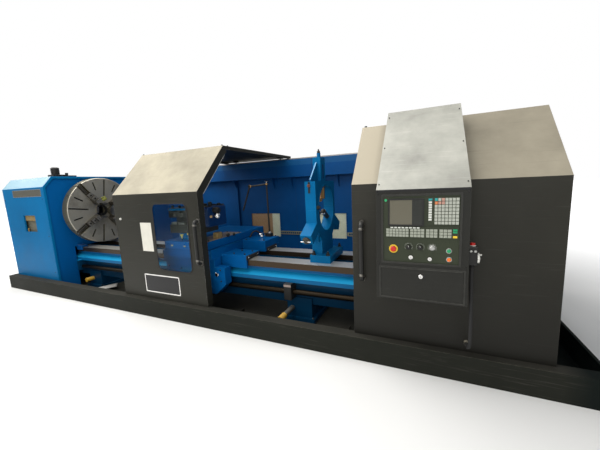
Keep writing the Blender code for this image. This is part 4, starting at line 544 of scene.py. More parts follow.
# Camera, light and floor.

cameraLook = {"place": (2.804, -3.554, 1.587), "yaw": 24.169, "pitch": -8.262, "roll": -2.762, "lens": 16.85}


def placeCamera(look):
    yaw, pitch, roll = (math.radians(look[key]) for key in ("yaw", "pitch", "roll"))
    ahead = Vector((-math.sin(yaw) * math.cos(pitch), math.cos(yaw) * math.cos(pitch), math.sin(pitch)))
    right = Vector((math.cos(yaw), math.sin(yaw), 0))
    up = right.cross(ahead)
    across = math.cos(roll) * right + math.sin(roll) * up
    above = -math.sin(roll) * right + math.cos(roll) * up
    data = bpy.data.cameras.new("photoCamera")
    data.lens, data.sensor_width, data.clip_end = look["lens"], 36.0, 200.0
    camera = bpy.data.objects.new("photoCamera", data)
    bpy.context.scene.collection.objects.link(camera)
    turn = Matrix((across, above, -ahead)).transposed().to_4x4()
    camera.matrix_world = Matrix.Translation(look["place"]) @ turn
    bpy.context.scene.camera = camera


def softLamp(name, place, target, size, power, colour=(1, 1, 1)):
    data = bpy.data.lights.new(name, "AREA")
    data.shape, data.size, data.size_y = "RECTANGLE", size[0], size[1]
    data.energy, data.color = power, colour
    lamp = bpy.data.objects.new(name, data)
    bpy.context.scene.collection.objects.link(lamp)
    lamp.location = place
    lamp.rotation_mode = "QUATERNION"
    lamp.rotation_quaternion = (Vector(target) - Vector(place)).to_track_quat("-Z", "Y")
    return lamp


def studio():
    lights = {"ceiling": ((-1.0, -1.0, 6.5), (0.0, -0.3, 0.8), (9.0, 5.0), 560.0, (1.0, 0.98, 0.95)),
        "leftWindow": ((-8.0, -3.0, 6.0), (-0.5, -0.8, 1.5), (6.0, 4.0), 520.0, (1.0, 0.98, 0.94)),
        "front": ((2.5, -8.0, 3.5), (0.5, -0.5, 1.0), (8.0, 4.0), 200.0, (1.0, 0.99, 0.97))}
    for name, facts in lights.items():
        softLamp(name, *facts)
    world = bpy.data.worlds.new("paleRoom")
    world.use_nodes = True
    bpy.context.scene.world = world
    tree = world.node_tree
    ground = tree.nodes["Background"]
    ground.inputs["Color"].default_value = (0.8, 0.82, 0.84, 1)
    ground.inputs["Strength"].default_value = 0.42
    shown = tree.nodes.new("ShaderNodeBackground")
    shown.inputs["Color"].default_value = (1.0, 1.0, 1.0, 1)
    shown.inputs["Strength"].default_value = 1.0
    path = tree.nodes.new("ShaderNodeLightPath")
    mix = tree.nodes.new("ShaderNodeMixShader")
    seen = mathNode(tree, "MAXIMUM", path.outputs["Is Camera Ray"], path.outputs["Is Transmission Ray"])
    tree.links.new(seen, mix.inputs[0])
    tree.links.new(ground.outputs[0], mix.inputs[1])
    tree.links.new(shown.outputs[0], mix.inputs[2])
    tree.links.new(mix.outputs[0], tree.nodes["World Output"].inputs[0])
    floorMesh = bpy.data.meshes.new("paleFloor")
    reach = 60.0
    floorMesh.from_pydata([(-reach, -reach, -0.001), (reach, -reach, -0.001), (reach, reach, -0.001),
        (-reach, reach, -0.001)], [], [(0, 1, 2, 3)])
    floor = bpy.data.objects.new("paleFloor", floorMesh)
    bpy.context.scene.collection.objects.link(floor)
    made, floorTree, shader = startMaterial("floorPaint")
    grain = useGroup(floorTree, "grain", Scale=30.0, Large_Scale=0.4)
    floorTree.links.new(mixColour(floorTree, grain.outputs["Patches"], (0.76, 0.76, 0.75), (0.84, 0.84, 0.83)),
        shader.inputs["Base Color"])
    shader.inputs["Roughness"].default_value = 0.6
    spot = addNode(floorTree, "TexCoord")
    place = addNode(floorTree, "SeparateXYZ", {0: spot.outputs["Object"]})
    across = mathNode(floorTree, "MULTIPLY", place.outputs["X"], place.outputs["X"])
    along = mathNode(floorTree, "MULTIPLY", place.outputs["Y"], place.outputs["Y"])
    away = mathNode(floorTree, "SQRT", mathNode(floorTree, "ADD", across, along))
    fade = rangedNode(floorTree, away, 4.5, 9.0)
    look = addNode(floorTree, "LightPath")
    floorTree.links.new(mathNode(floorTree, "MULTIPLY", fade, look.outputs["Is Camera Ray"]),
        shader.inputs["Emission Strength"])
    shader.inputs["Emission Color"].default_value = (1, 1, 1, 1)
    floorMesh.materials.append(made)


placeCamera(cameraLook)
studio()
bpy.context.scene.view_settings.view_transform = "Standard"
print("camera, light and floor ready")

# Helpers for shapes. The slot that a finish usually belongs to, where a call names none.
usualSlots = {"badgeBlack": "black_plastic", "barePlate": "silver_plastic", "bezelGrey": "panel_grey",
    "blackPlastic": "black_plastic", "blackRubber": "belt_rubber", "bluePaint": "blue_paint",
    "brass": "silver_plastic", "highlightBlue": "blue_paint", "chrome": "silver_plastic",
    "edgeGrey": "dark_paint", "edgePale": "silver_plastic", "galvanised": "ground_steel",
    "guardBlue": "blue_paint", "hubIron": "cast_steel", "jawTooth": "ground_steel",
    "liningBrown": "motor_grey", "seamDark": "dark_paint", "silverPlastic": "silver_plastic",
    "turretIron": "cast_steel", "whitePlastic": "white_plastic"}
upward, toRight, toRear, toFront = (0, 0, 1), (1, 0, 0), (0, 1, 0), (0, -1, 0)

planes = {"YZ": Matrix(((0, 0, 1, 0), (1, 0, 0, 0), (0, 1, 0, 0), (0, 0, 0, 1))),
          "XZ": Matrix(((1, 0, 0, 0), (0, 0, -1, 0), (0, 1, 0, 0), (0, 0, 0, 1))),
          "XY": Matrix.Identity(4)}


def addBox(shape, low, high, place=None):
    made = bmesh.ops.create_cube(shape, size=1.0)["verts"]
    size = [b - a for a, b in zip(low, high)]
    middle = [(a + b) / 2 for a, b in zip(low, high)]
    bmesh.ops.scale(shape, vec=size, verts=made)
    bmesh.ops.translate(shape, vec=middle, verts=made)
    if place is not None:
        bmesh.ops.transform(shape, matrix=place, verts=made)


def addRod(shape, start, end, radius, endRadius=None, steps=24):
    start, end = Vector(start), Vector(end)
    turn = (end - start).to_track_quat("Z", "Y").to_matrix().to_4x4()
    bmesh.ops.create_cone(shape, cap_ends=True, segments=steps, radius1=radius,
        radius2=radius if endRadius is None else endRadius, depth=(end - start).length,
        matrix=Matrix.Translation((start + end) / 2) @ turn)


def addBall(shape, middle, radius, stretch=(1, 1, 1), steps=16):
    made = bmesh.ops.create_uvsphere(shape, u_segments=steps, v_segments=steps // 2 + 2, radius=radius)["verts"]
    bmesh.ops.scale(shape, vec=stretch, verts=made)
    bmesh.ops.translate(shape, vec=middle, verts=made)


def addTurned(shape, profile, start, along, steps=32, closed=False):
    turn = Vector(along).to_track_quat("Z", "Y").to_matrix().to_4x4()
    place = Matrix.Translation(start) @ turn
    rings = []
    for radius, height in profile:
        count = 1 if radius < 1e-06 else steps
        angles = [math.tau * i / steps for i in range(count)]
        rings.append([shape.verts.new(place @ Vector((radius * math.cos(a), radius * math.sin(a), height)))
            for a in angles])
    pairs = list(zip(rings, rings[1:])) + ([(rings[-1], rings[0])] if closed else [])
    for first, second in pairs:
        for i in range(steps):
            j = (i + 1) % steps
            corners = [first[i % len(first)], first[j % len(first)], second[j % len(second)],
                second[i % len(second)]]
            corners = list(dict.fromkeys(corners))
            if len(corners) > 2:
                shape.faces.new(corners)


def addSheet(shape, outer, plane, low, high, holes=()):
    # A flat sheet with any outline, with open holes, between two depths across the plane.
    side = -1 if plane == "XZ" else 1
    loops = [outer, *holes]
    flat = [[Vector((a, b, 0)) for a, b in loop] for loop in loops]
    triangles = tessellate_polygon(flat)
    spots = [spot for loop in flat for spot in loop]
    layers = []
    for depth in (low, high):
        layers.append([shape.verts.new(planes[plane] @ Vector((spot.x, spot.y, side * depth)))
            for spot in spots])
    for a, b, c in triangles:
        shape.faces.new((layers[0][a], layers[0][b], layers[0][c]))
        shape.faces.new((layers[1][c], layers[1][b], layers[1][a]))
    first = 0
    for loop in loops:
        count = len(loop)
        for i in range(count):
            j = (i + 1) % count
            shape.faces.new((layers[0][first + i], layers[0][first + j], layers[1][first + j],
                layers[1][first + i]))
        first += count


def arcSpots(middle, radius, start, end, steps):
    return [(middle[0] + radius * math.cos(math.radians(start + (end - start) * i / steps)),
        middle[1] + radius * math.sin(math.radians(start + (end - start) * i / steps)))
        for i in range(steps + 1)]


def grown(low, high, by):
    # The corners of a rectangle that is wider on every side, or narrower below nought.
    return (low[0] - by, low[1] - by), (high[0] + by, high[1] + by)


def roundedSpots(low, high, radius, steps=5):
    spots = []
    for corner, angle in (((high[0] - radius, high[1] - radius), 0), ((low[0] + radius, high[1] - radius), 90),
            ((low[0] + radius, low[1] + radius), 180), ((high[0] - radius, low[1] + radius), 270)):
        spots += arcSpots(corner, radius, angle, angle + 90, steps)
    return spots


def addPiece(name, shape, finish, body, slotName=None, edge=0.0, smooth=0.0):
    slotName = slotName or usualSlots[finish]
    data = bpy.data.meshes.new(name)
    bmesh.ops.recalc_face_normals(shape, faces=shape.faces)
    shape.to_mesh(data)
    shape.free()
    item = bpy.data.objects.new(name, data)
    bpy.context.scene.collection.objects.link(item)
    data.materials.append(finishes[finish])
    if smooth:
        data.shade_smooth()
        data.set_sharp_from_angle(angle=math.radians(smooth))
    if edge:
        roundEdges(item, edge)
    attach(item, body)
    return item


def boxes(name, parts, finish, body, slotName=None, edge=0.0):
    shape = bmesh.new()
    for low, high in parts:
        addBox(shape, low, high)
    return addPiece(name, shape, finish, body, slotName, edge)


def rods(name, parts, finish, body, slotName=None, steps=24):
    shape = bmesh.new()
    for start, end, radius in parts:
        addRod(shape, start, end, radius, steps=steps)
    return addPiece(name, shape, finish, body, slotName, smooth=35)


def lathed(name, profile, start, along, steps, finish, body, slotName=None, closed=True):
    shape = bmesh.new()
    addTurned(shape, profile, start, along, steps, closed)
    return addPiece(name, shape, finish, body, slotName, smooth=35)


def sheets(name, parts, finish, body, slotName=None, edge=0.0):
    shape = bmesh.new()
    for outer, plane, low, high, holes in parts:
        addSheet(shape, outer, plane, low, high, holes)
    return addPiece(name, shape, finish, body, slotName, edge)


def capScrews(name, spots, outward, radius, finish, body, slotName=None):
    # Socket screws: a round head with a rounded rim and a hexagon hole sunk in it.
    shape = bmesh.new()
    height = radius * 1.1
    profile = [(0.0, height * 0.35), (radius * 0.52, height * 0.35), (radius * 0.55, height),
        (radius * 0.86, height), (radius, height * 0.84), (radius, 0.0)]
    for spot in spots:
        addTurned(shape, profile, spot, outward, 16)
    return addPiece(name, shape, finish, body, slotName, smooth=40)


def ridge(name, points, radius, finish, body, sides):
    # A round bar or hose along a smooth line of points.
    curve = bpy.data.curves.new(name, "CURVE")
    curve.dimensions = "3D"
    curve.bevel_depth = radius
    curve.bevel_resolution = sides
    curve.use_fill_caps = True
    line = curve.splines.new("POLY")
    line.points.add(len(points) - 1)
    for spot, point in zip(line.points, points):
        spot.co = (*point, 1.0)
    item = bpy.data.objects.new(name, curve)
    bpy.context.scene.collection.objects.link(item)
    curve.materials.append(finishes[finish])
    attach(item, body)
    return item


def bowed(points, count):
    # Even spots along the smooth line through the given points.
    spots = []
    padded = [points[0], *points, points[-1]]
    for k in range(len(points) - 1):
        p = [Vector(v) for v in padded[k:k + 4]]
        for i in range(count):
            t = i / count
            spots.append(0.5 * (2 * p[1] + (p[2] - p[0]) * t + (2 * p[0] - 5 * p[1] + 4 * p[2] - p[3]) * t * t
                + (3 * p[1] - p[0] - 3 * p[2] + p[3]) * t ** 3))
    return [tuple(spot) for spot in spots] + [tuple(points[-1])]


# The pendant's cord: down from the pendant, bellied outwards, and level into the gland on the right door.
cordLook = {"x": 3.116, "diameter": 0.024, "length": 0.7564}
cordRoute = [(-1.3, 0.9647), (-1.3, 0.9547), (-1.3023, 0.9019), (-1.3079, 0.8494), (-1.3154, 0.7966),
    (-1.3238, 0.7446), (-1.3322, 0.6943), (-1.3407, 0.6421), (-1.3483, 0.5887), (-1.3539, 0.5373),
    (-1.3566, 0.485), (-1.3543, 0.4321), (-1.343, 0.3805), (-1.3161, 0.3349), (-1.2725, 0.3077),
    (-1.2203, 0.3), (-1.2103, 0.3)]
cordPoints = [(cordLook["x"], y, z) for y, z in cordRoute]
cordPiece = ridge("pendantCord", cordPoints, cordLook["diameter"] / 2, "blackRubber", "right_door",
    4)
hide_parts("pendant_cord")
print("cord ready")

# Headstock cover, its plates, breather and doors.

head = {"left": -3.945, "right": -2.66, "front": -1.13, "rear": 0.60, "frontTop": 1.735, "bend": -0.995,
        "top": 1.898, "bottom": 0.0103, "lip": 0.016, "lipWide": 0.034}


def sectionStrip(look, wide):
    # The rim along front edge, slope and roof, as one bent strip in the YZ plane.
    outer = [(look["front"], look["bottom"] + 0.03), (look["front"], look["frontTop"]),
        (look["bend"], look["top"]), (look["rear"], look["top"])]
    lean = math.atan2(look["top"] - look["frontTop"], look["bend"] - look["front"])
    low = wide * math.tan((math.pi / 2 - lean) / 2)
    high = wide * math.tan(lean / 2)
    inner = [(look["rear"], look["top"] - wide), (look["bend"] + high, look["top"] - wide),
        (look["front"] + wide, look["frontTop"] - low), (look["front"] + wide, look["bottom"] + 0.03)]
    return outer + inner


def headstockDetails(look):
    plate = {"x": (-3.60, -2.72), "z": (1.59, 1.706), "thick": 0.003}
    right = look["right"]
    sheets("headRim", [(sectionStrip(look, look["lipWide"]), "YZ", right + hair, right + look["lip"], [])],
        "bluePaint", "frame", edge=0.003)
    face = look["front"] - 0.0004
    low, high = (plate["x"][0], plate["z"][0]), (plate["x"][1], plate["z"][1])
    sheets("namePlateRim", [(roundedSpots(low, high, 0.006), "XZ", face, face - plate["thick"],
        [roundedSpots(*grown(low, high, -0.006), 0.004)])], "chrome", "frame")
    boxes("namePlate", [((low[0] + 0.0062, face - 0.002, low[1] + 0.0062),
        (high[0] - 0.0062, face, high[1] - 0.0062))], "barePlate", "frame")
    sight = {"x": (-3.39, -3.03), "z": (1.012, 1.285), "deep": 0.018}
    inside = look["front"] + 0.0045
    lowX, highX = sight["x"]
    lowZ, highZ = sight["z"]
    hole = [(lowX, lowZ), (highX, lowZ), (highX, highZ), (lowX, highZ)]
    outer = roundedSpots(*grown(hole[0], hole[2], 0.02), 0.012)
    sheets("sightReturn", [(outer, "XZ", inside, inside + sight["deep"], [hole])], "bluePaint", "frame",
        edge=0.0015)
    back = inside + sight["deep"] + 0.0005
    boxes("sightBack", [((lowX - 0.3, back + 0.03, lowZ - 0.06), (highX + 0.01, back + 0.034, highZ - 0.093))],
        "liningGrey", "frame", "motor_grey")
    boxes("sightCasting", [((lowX - 0.3, back, highZ - 0.092), (highX + 0.01, back + 0.06, highZ + 0.04))],
        "liningBrown", "frame", edge=0.006)
    boxes("sightEdge", [((highX - 0.006, inside + 0.001, lowZ + 0.001),
        (highX - 0.0004, inside + 0.016, highZ - 0.001))], "edgePale", "frame")
    rods("sightPipe", [((lowX + 0.01, back + 0.014, lowZ - 0.02), (lowX + 0.01, back + 0.014, lowZ + 0.05),
        0.013)], "brass", "frame")
    boxes("headDoorGap", [((look["left"] + 0.03, look["front"] - 0.0012, 0.0403),
        (look["right"] - 0.03, look["front"] - hair, 0.0433))], "blackRubber", "frame", "black_plastic")
    cap = {"x": -2.79, "y": -0.86, "low": 1.9333}
    shape = bmesh.new()
    addTurned(shape, [(0.0, 0.1182), (0.04, 0.1182), (0.052, 0.112), (0.0585, 0.1), (0.0585, 0.088),
        (0.0555, 0.086)], (cap["x"], cap["y"], cap["low"]), upward, 32)
    for i in range(3):
        addTurned(shape, [(0.0552, 0.024 + i * 0.02), (0.06, 0.026 + i * 0.02), (0.06, 0.032 + i * 0.02),
            (0.0552, 0.034 + i * 0.02)], (cap["x"], cap["y"], cap["low"]), upward, 32, True)
    addPiece("breatherRings", shape, "blackPlastic", "frame", smooth=40)
    rods("breatherPipe", [((cap["x"] + 0.02, cap["y"] + 0.15, 1.9337),
        (cap["x"] + 0.02, cap["y"] + 0.15, 1.965), 0.022), ((cap["x"] + 0.04, cap["y"] + 0.28, 1.9125),
        (cap["x"] + 0.04, cap["y"] + 0.05, 1.9125), 0.012)], "blackPlastic", "frame")
    capScrews("headScrews", [(x, look["front"] - hair, z) for x in (-3.9, -2.705)
        for z in (0.35, 0.95, 1.55)], toFront, 0.006, "blackPlastic", "frame")
    shape = bmesh.new()
    leaning = Matrix.Rotation(math.radians(35), 4, "Y")
    for y in (-0.75, -0.2, 0.3):
        for row in range(9):
            place = Matrix.Translation((look["left"] - 0.0008, y, 0.55 + row * 0.035)) @ leaning
            addBox(shape, (-0.01, -0.14, -0.0012), (0.01, 0.14, 0.0012), place)
    addPiece("headLouvres", shape, "bluePaint", "frame")
    rear = look["rear"] + 0.0004
    flaps, hinges, latches = [], [], []
    for left, edge in ((-3.86, -3.34), (-3.28, -2.76)):
        flaps.append((roundedSpots((left, 0.3), (edge, 1.6), 0.02), "XZ", rear, rear + 0.002, []))
        for z in (0.42, 1.38):
            hinges.append(((left + 0.012, rear + 0.008, z), (left + 0.012, rear + 0.008, z + 0.07), 0.007))
        latches.append(((edge - 0.06, rear + 0.0022, 0.9), (edge - 0.03, rear + 0.014, 1.02)))
    sheets("headRearDoors", flaps, "bluePaint", "frame", edge=0.0008)
    rods("headRearHinges", hinges, "blackPlastic", "frame")
    boxes("headRearLatches", latches, "blackPlastic", "frame", edge=0.003)
    boxes("wayCover", [((right + hair, -0.795, 0.655), (-2.52, -0.7705, 0.738)),
        ((right + hair, -0.7705, 0.7004), (-2.52, -0.69, 0.738))], "guardBlue", "frame", edge=0.006)


headstockDetails(head)
print("headstock dressed")

# Chuck: hub, screws, jaw teeth and bolts.

chuck = {"face": -2.39, "jawAngles": (127, 217, 307, 37)}


def aroundSpindle(angle, radius, sideways=0.0):
    turn = math.radians(angle)
    return (spindle["y"] + radius * math.cos(turn) - sideways * math.sin(turn),
        spindle["z"] + radius * math.sin(turn) + sideways * math.cos(turn))


def radialMatrix(angle):
    # Local Z runs outwards along the angle, local X along the spindle.
    turn = Matrix.Rotation(math.radians(angle - 90), 4, "X")
    return Matrix.Translation((0, spindle["y"], spindle["z"])) @ turn


def chuckDetails(look):
    face = look["face"]
    axis = (face, spindle["y"], spindle["z"])
    hub = bmesh.new()
    for angle in look["jawAngles"]:
        middle = angle + 45
        spots = arcSpots(axis[1:], 0.101, middle - 17.5, middle + 17.5, 8)
        spots += arcSpots(axis[1:], 0.136, middle + 24.5, middle - 24.5, 10)
        addSheet(hub, spots, "YZ", face + 0.0004, face + 0.03)
    addPiece("chuckHub", hub, "hubIron", "spindle", edge=0.003)
    # Black strips on the slot floors: painted shade in the slots.
    slotShade = bmesh.new()
    for angle in look["jawAngles"]:
        for turned, inner, outer, deep in ((45, 0.252, 0.543, 0.0297), (23, 0.362, 0.498, 0.0197),
                (67, 0.362, 0.498, 0.0197)):
            addBox(slotShade, (face - deep, -0.0106, inner), (face - deep + 0.0012, 0.0106, outer),
                radialMatrix(angle + turned))
    addPiece("slotShadeFloors", slotShade, "badgeBlack", "spindle", "cast_steel")
    lathed("spindleNose", [(0.066, 0.0), (0.099, 0.0), (0.099, -0.02), (0.066, -0.02)],
        (face - 0.065, *axis[1:]), toRight, 48, "blackPlastic", "spindle", "cast_steel")
    screws = bmesh.new()
    sunk = face - 0.03
    for angle in look["jawAngles"]:
        turn = radialMatrix(angle)
        for i in range(26):
            low = 0.392 + i * 0.0062
            addRod(screws, turn @ Vector((sunk, 0, low)), turn @ Vector((sunk, 0, low + 0.0032)), 0.0215, steps=20)
        addRod(screws, turn @ Vector((sunk, 0, 0.39)), turn @ Vector((sunk, 0, 0.556)), 0.0185, steps=20)
    addPiece("jawScrews", screws, "turretIron", "spindle", smooth=35)
    for number, angle in enumerate(look["jawAngles"]):
        teeth = bmesh.new()
        turn = radialMatrix(angle)
        for step in range(3):
            top = face + 0.035 * (3 - step) + hair
            inner = 0.17 + 0.0667 * step
            for i in range(5):
                low = inner + 0.006 + i * 0.0125
                addBox(teeth, (top, -0.041, low), (top + 0.004, 0.041, low + 0.006), turn)
        addPiece(f"jawTeeth{number + 1}", teeth, "jawTooth", f"jaw_{number + 1}", edge=0.0008)
        bolts = [turn @ Vector((face + 0.0356 + 0.035 * (2 - step), 0.0, 0.203 + 0.0667 * step))
            for step in (1, 2)]
        capScrews(f"jawBolts{number + 1}", bolts, toRight, 0.013, "blackPlastic", f"jaw_{number + 1}")
    blob = bmesh.new()
    for angle, radius, size in ((84, 0.185, 0.03), (76, 0.205, 0.026), (90, 0.215, 0.022), (80, 0.235, 0.018)):
        y, z = aroundSpindle(angle, radius)
        addBall(blob, (face + 0.004, y, z), size, (0.35, 1, 0.8))
    addPiece("greaseDab", blob, "grease", "spindle", "screw_steel", smooth=60)
    rim = bmesh.new()
    for angle in range(0, 360, 45):
        y, z = aroundSpindle(angle + 15, 0.5595)
        outward = Vector((0, y - spindle["y"], z - spindle["z"])).normalized()
        addRod(rim, Vector((face - 0.075, y, z)), Vector((face - 0.075, y, z)) + outward * 0.003, 0.014,
            steps=20)
    addPiece("rimPlugs", rim, "turretIron", "spindle", smooth=35)


chuckDetails(chuck)
print("chuck dressed")

# Bed, feet and what lies in the tray.

def bedDetails():
    sleeves = bmesh.new()
    for x, front in ((-2.4, -0.86), (1.4, -1.075)):
        addTurned(sleeves, [(0.0, -0.004), (0.0335, -0.004), (0.0335, 0.11), (0.0303, 0.11), (0.0303, -hair),
            (0.0, -hair)], (x, front, 0.16), toRear, 28)
    addPiece("barSleeves", sleeves, "yellowPaint", "frame", "orange_plastic", smooth=35)
    spots = []
    for x in (-2.33, -0.42, 1.49, 3.4):
        for dx in (-0.175, 0.175):
            for y in (-0.77, -0.07):
                spots.append((x + dx, y, 0.0607))
    capScrews("footBolts", spots, upward, 0.013, "blackPlastic", "frame")
    shape = bmesh.new()
    turn = Matrix.Translation((-2.06, -0.9, 0.05)) @ Matrix.Rotation(math.radians(52), 4, "Z")
    lying = turn @ Matrix.Rotation(math.radians(-3.5), 4, "Y")
    addBox(shape, (-0.27, -0.085, -0.006), (0.27, 0.085, 0.006), lying)
    addPiece("loosePlate", shape, "paleLoose", "frame", "white_plastic", edge=0.002)
    boxes("bracketTag", [((1.356, -0.8612, 0.447), (1.444, -0.8603, 0.472))], "tagPaint", "frame",
        "white_plastic")
    shape = bmesh.new()
    for x0, x1 in ((-2.52, -0.15), (0.17, 1.345), (1.455, 3.62)):
        turns = int((x1 - x0) / 0.012)
        for i in range(turns):
            x = x0 + i * 0.012
            addTurned(shape, [(0.0301, 0.0), (0.0306, 0.002), (0.0306, 0.004), (0.0301, 0.006)],
                (x, -0.79, 0.372), toRight, 12)
    addPiece("screwThread", shape, "screwSteelShaded", "feed_screw", "screw_steel", smooth=35)


bedDetails()
print("bed dressed")

# Left door.

doors = {"front": -1.18, "frontTop": 1.562, "bend": -0.671, "top": 2.105, "rear": 1.27, "low": 0.2203,
         "width": 1.44, "left": -0.921, "right": 2.233}
slopeRise = (doors["top"] - doors["frontTop"]) / (doors["bend"] - doors["front"])


def onSlope(y, lift=0.0):
    # The height of the doors' slope at y, raised square to it.
    return doors["frontTop"] + slopeRise * (y - doors["front"]) + lift * math.hypot(1, slopeRise)


def doorCarriage(name, left, body):
    # Rollers and their hanger bar under the roof's rear edge, riding on the guard's rail.
    first, last = left + 0.06, left + doors["width"] - 0.06
    boxes(name + "Hanger", [((first, 1.206, 2.07), (last, 1.209, 2.1012)),
        ((first, 1.209, 2.07), (last, 1.224, 2.073))], "hangerPale", body, "ground_steel", 0.0006)
    wheels, forks = bmesh.new(), bmesh.new()
    for x in (first + 0.2, last - 0.12):
        addTurned(wheels, [(0.0, 0.022), (0.0205, 0.022), (0.0205, 0.004), (0.0, 0.004)], (x, 1.178, 2.0806),
            toRear, 24)
        for dx in (-0.045, 0.045):
            addBox(forks, (x + dx - 0.006, 1.176, 2.076), (x + dx + 0.006, 1.205, 2.1012))
        addBox(forks, (x - 0.05, 1.2022, 2.066), (x + 0.05, 1.2055, 2.1012))
    addPiece(name + "Rollers", wheels, "blackPlastic", body, smooth=35)
    addPiece(name + "Forks", forks, "blackPlastic", body, edge=0.001)


def slopeStrip(low, high, lift, thick):
    # A strip along the slope between two depths, as (y, z) points.
    return [(low, onSlope(low, lift)), (high, onSlope(high, lift)), (high, onSlope(high, lift + thick)),
        (low, onSlope(low, lift + thick))]


def handleEnds(name, x, body):
    shape = bmesh.new()
    for z in (0.75, 1.235):
        addTurned(shape, [(0.0203, 0.0), (0.027, 0.0), (0.027, 0.005), (0.0225, 0.012), (0.0203, 0.012)],
            (x, doors["front"] - 0.0006, z), toFront, 28, True)
    for z in (0.782, 1.183):
        addTurned(shape, [(0.0203, 0.0), (0.0222, 0.002), (0.0222, 0.018), (0.0203, 0.02)], (x, -1.235, z),
            upward, 28, True)
    addPiece(name, shape, "hubIron", body, "silver_plastic", smooth=35)


def leftDoorDetails():
    front = doors["front"]
    gasket = {"low": (-0.205, 0.62), "high": (0.335, 1.43), "wide": 0.014, "rise": 0.005, "radius": 0.06}
    hole = gasket["low"], gasket["high"]
    inner = roundedSpots(*grown(*hole, -0.002), gasket["radius"] - 0.002, 8)
    outer = roundedSpots(*grown(*hole, gasket["wide"]), gasket["radius"] + gasket["wide"], 8)
    sheets("viewGasket", [(outer, "XZ", front - hair, front - gasket["rise"], [inner])], "blackRubber",
        "left_door", "black_plastic", 0.0015)
    boxes("adviceLabel", [((-0.457, front - 0.0012, 0.845), (-0.265, front - hair, 1.206))], "paleLabel",
        "left_door", "white_plastic")
    badge = (-0.49, 0.307), (0.11, 0.545)
    sheets("badgePlate", [(roundedSpots(*badge, 0.01), "XZ", front - hair, front - 0.0022, [])],
        "chrome", "left_door", edge=0.0006)
    sheets("badgeField", [(roundedSpots(*grown(*badge, -0.014), 0.006), "XZ", front - 0.0025,
        front - 0.0032, [])], "badgeBlack", "left_door")
    low, high = grown(*badge, -0.007)
    capScrews("badgeScrews", [(x, front - 0.0023, z) for x in (low[0], high[0]) for z in (low[1], high[1])],
        toFront, 0.004, "chrome", "left_door")
    capScrews("doorDot", [(-0.808, front - hair, 1.25)], toFront, 0.014, "whitePlastic", "left_door")
    x = doors["left"] + doors["width"]
    sheets("slopeEdge", [(slopeStrip(front + 0.098, doors["bend"] + 0.02, -0.0935, 0.003), "YZ", x - 0.03,
        x + 0.002, [])], "edgePale", "left_door", "white_plastic")
    spots = [(x - 0.02, -0.66, doors["top"] + hair), (x - 0.02, -0.55, doors["top"] + hair),
        (doors["left"] + 0.02, -0.66, doors["top"] + hair)]
    capScrews("roofScrews", spots, upward, 0.01, "blackPlastic", "left_door")
    spots = [(side, front - hair, z) for side in (doors["left"] + 0.015, x - 0.015) for z in (0.4, 0.8, 1.1)]
    capScrews("frameScrews", spots, toFront, 0.006, "blackPlastic", "left_door")
    doorCarriage("leftDoor", doors["left"], "left_door")
    handleEnds("leftHandleEnds", 0.49, "left_door")
    boxes("leftDoorSeal", [((doors["left"] + 0.01, front + 0.004, doors["low"] + 0.0004),
        (x - 0.01, front + 0.012, doors["low"] + 0.02))], "blackRubber", "left_door")


leftDoorDetails()
print("left door dressed")

# Right door, control box and pendant.

box = {"x": (2.467, 3.087), "z": (0.675, 1.514), "front": -1.38, "panelX": (2.515, 3.03),
    "panelZ": (0.97, 1.47), "face": -1.3767, "raised": -1.3817}


def keyBlock(shape, xPair, zPair, columns, rows, gap, front, deep, skip=()):
    wide = (xPair[1] - xPair[0] - gap * (columns - 1)) / columns
    high = (zPair[1] - zPair[0] - gap * (rows - 1)) / rows
    for column in range(columns):
        for row in range(rows):
            if (column, row) in skip:
                continue
            x = xPair[0] + column * (wide + gap)
            z = zPair[1] - row * (high + gap) - high
            addBox(shape, (x, front - deep, z), (x + wide, front, z + high))


def keys(name, blocks, finish, slotName, deep=0.0035):
    shape = bmesh.new()
    for facts in blocks:
        keyBlock(shape, *facts[:5], box["raised"] - hair, deep, *facts[5:])
    addPiece(name, shape, finish, "right_door", slotName, edge=0.001)


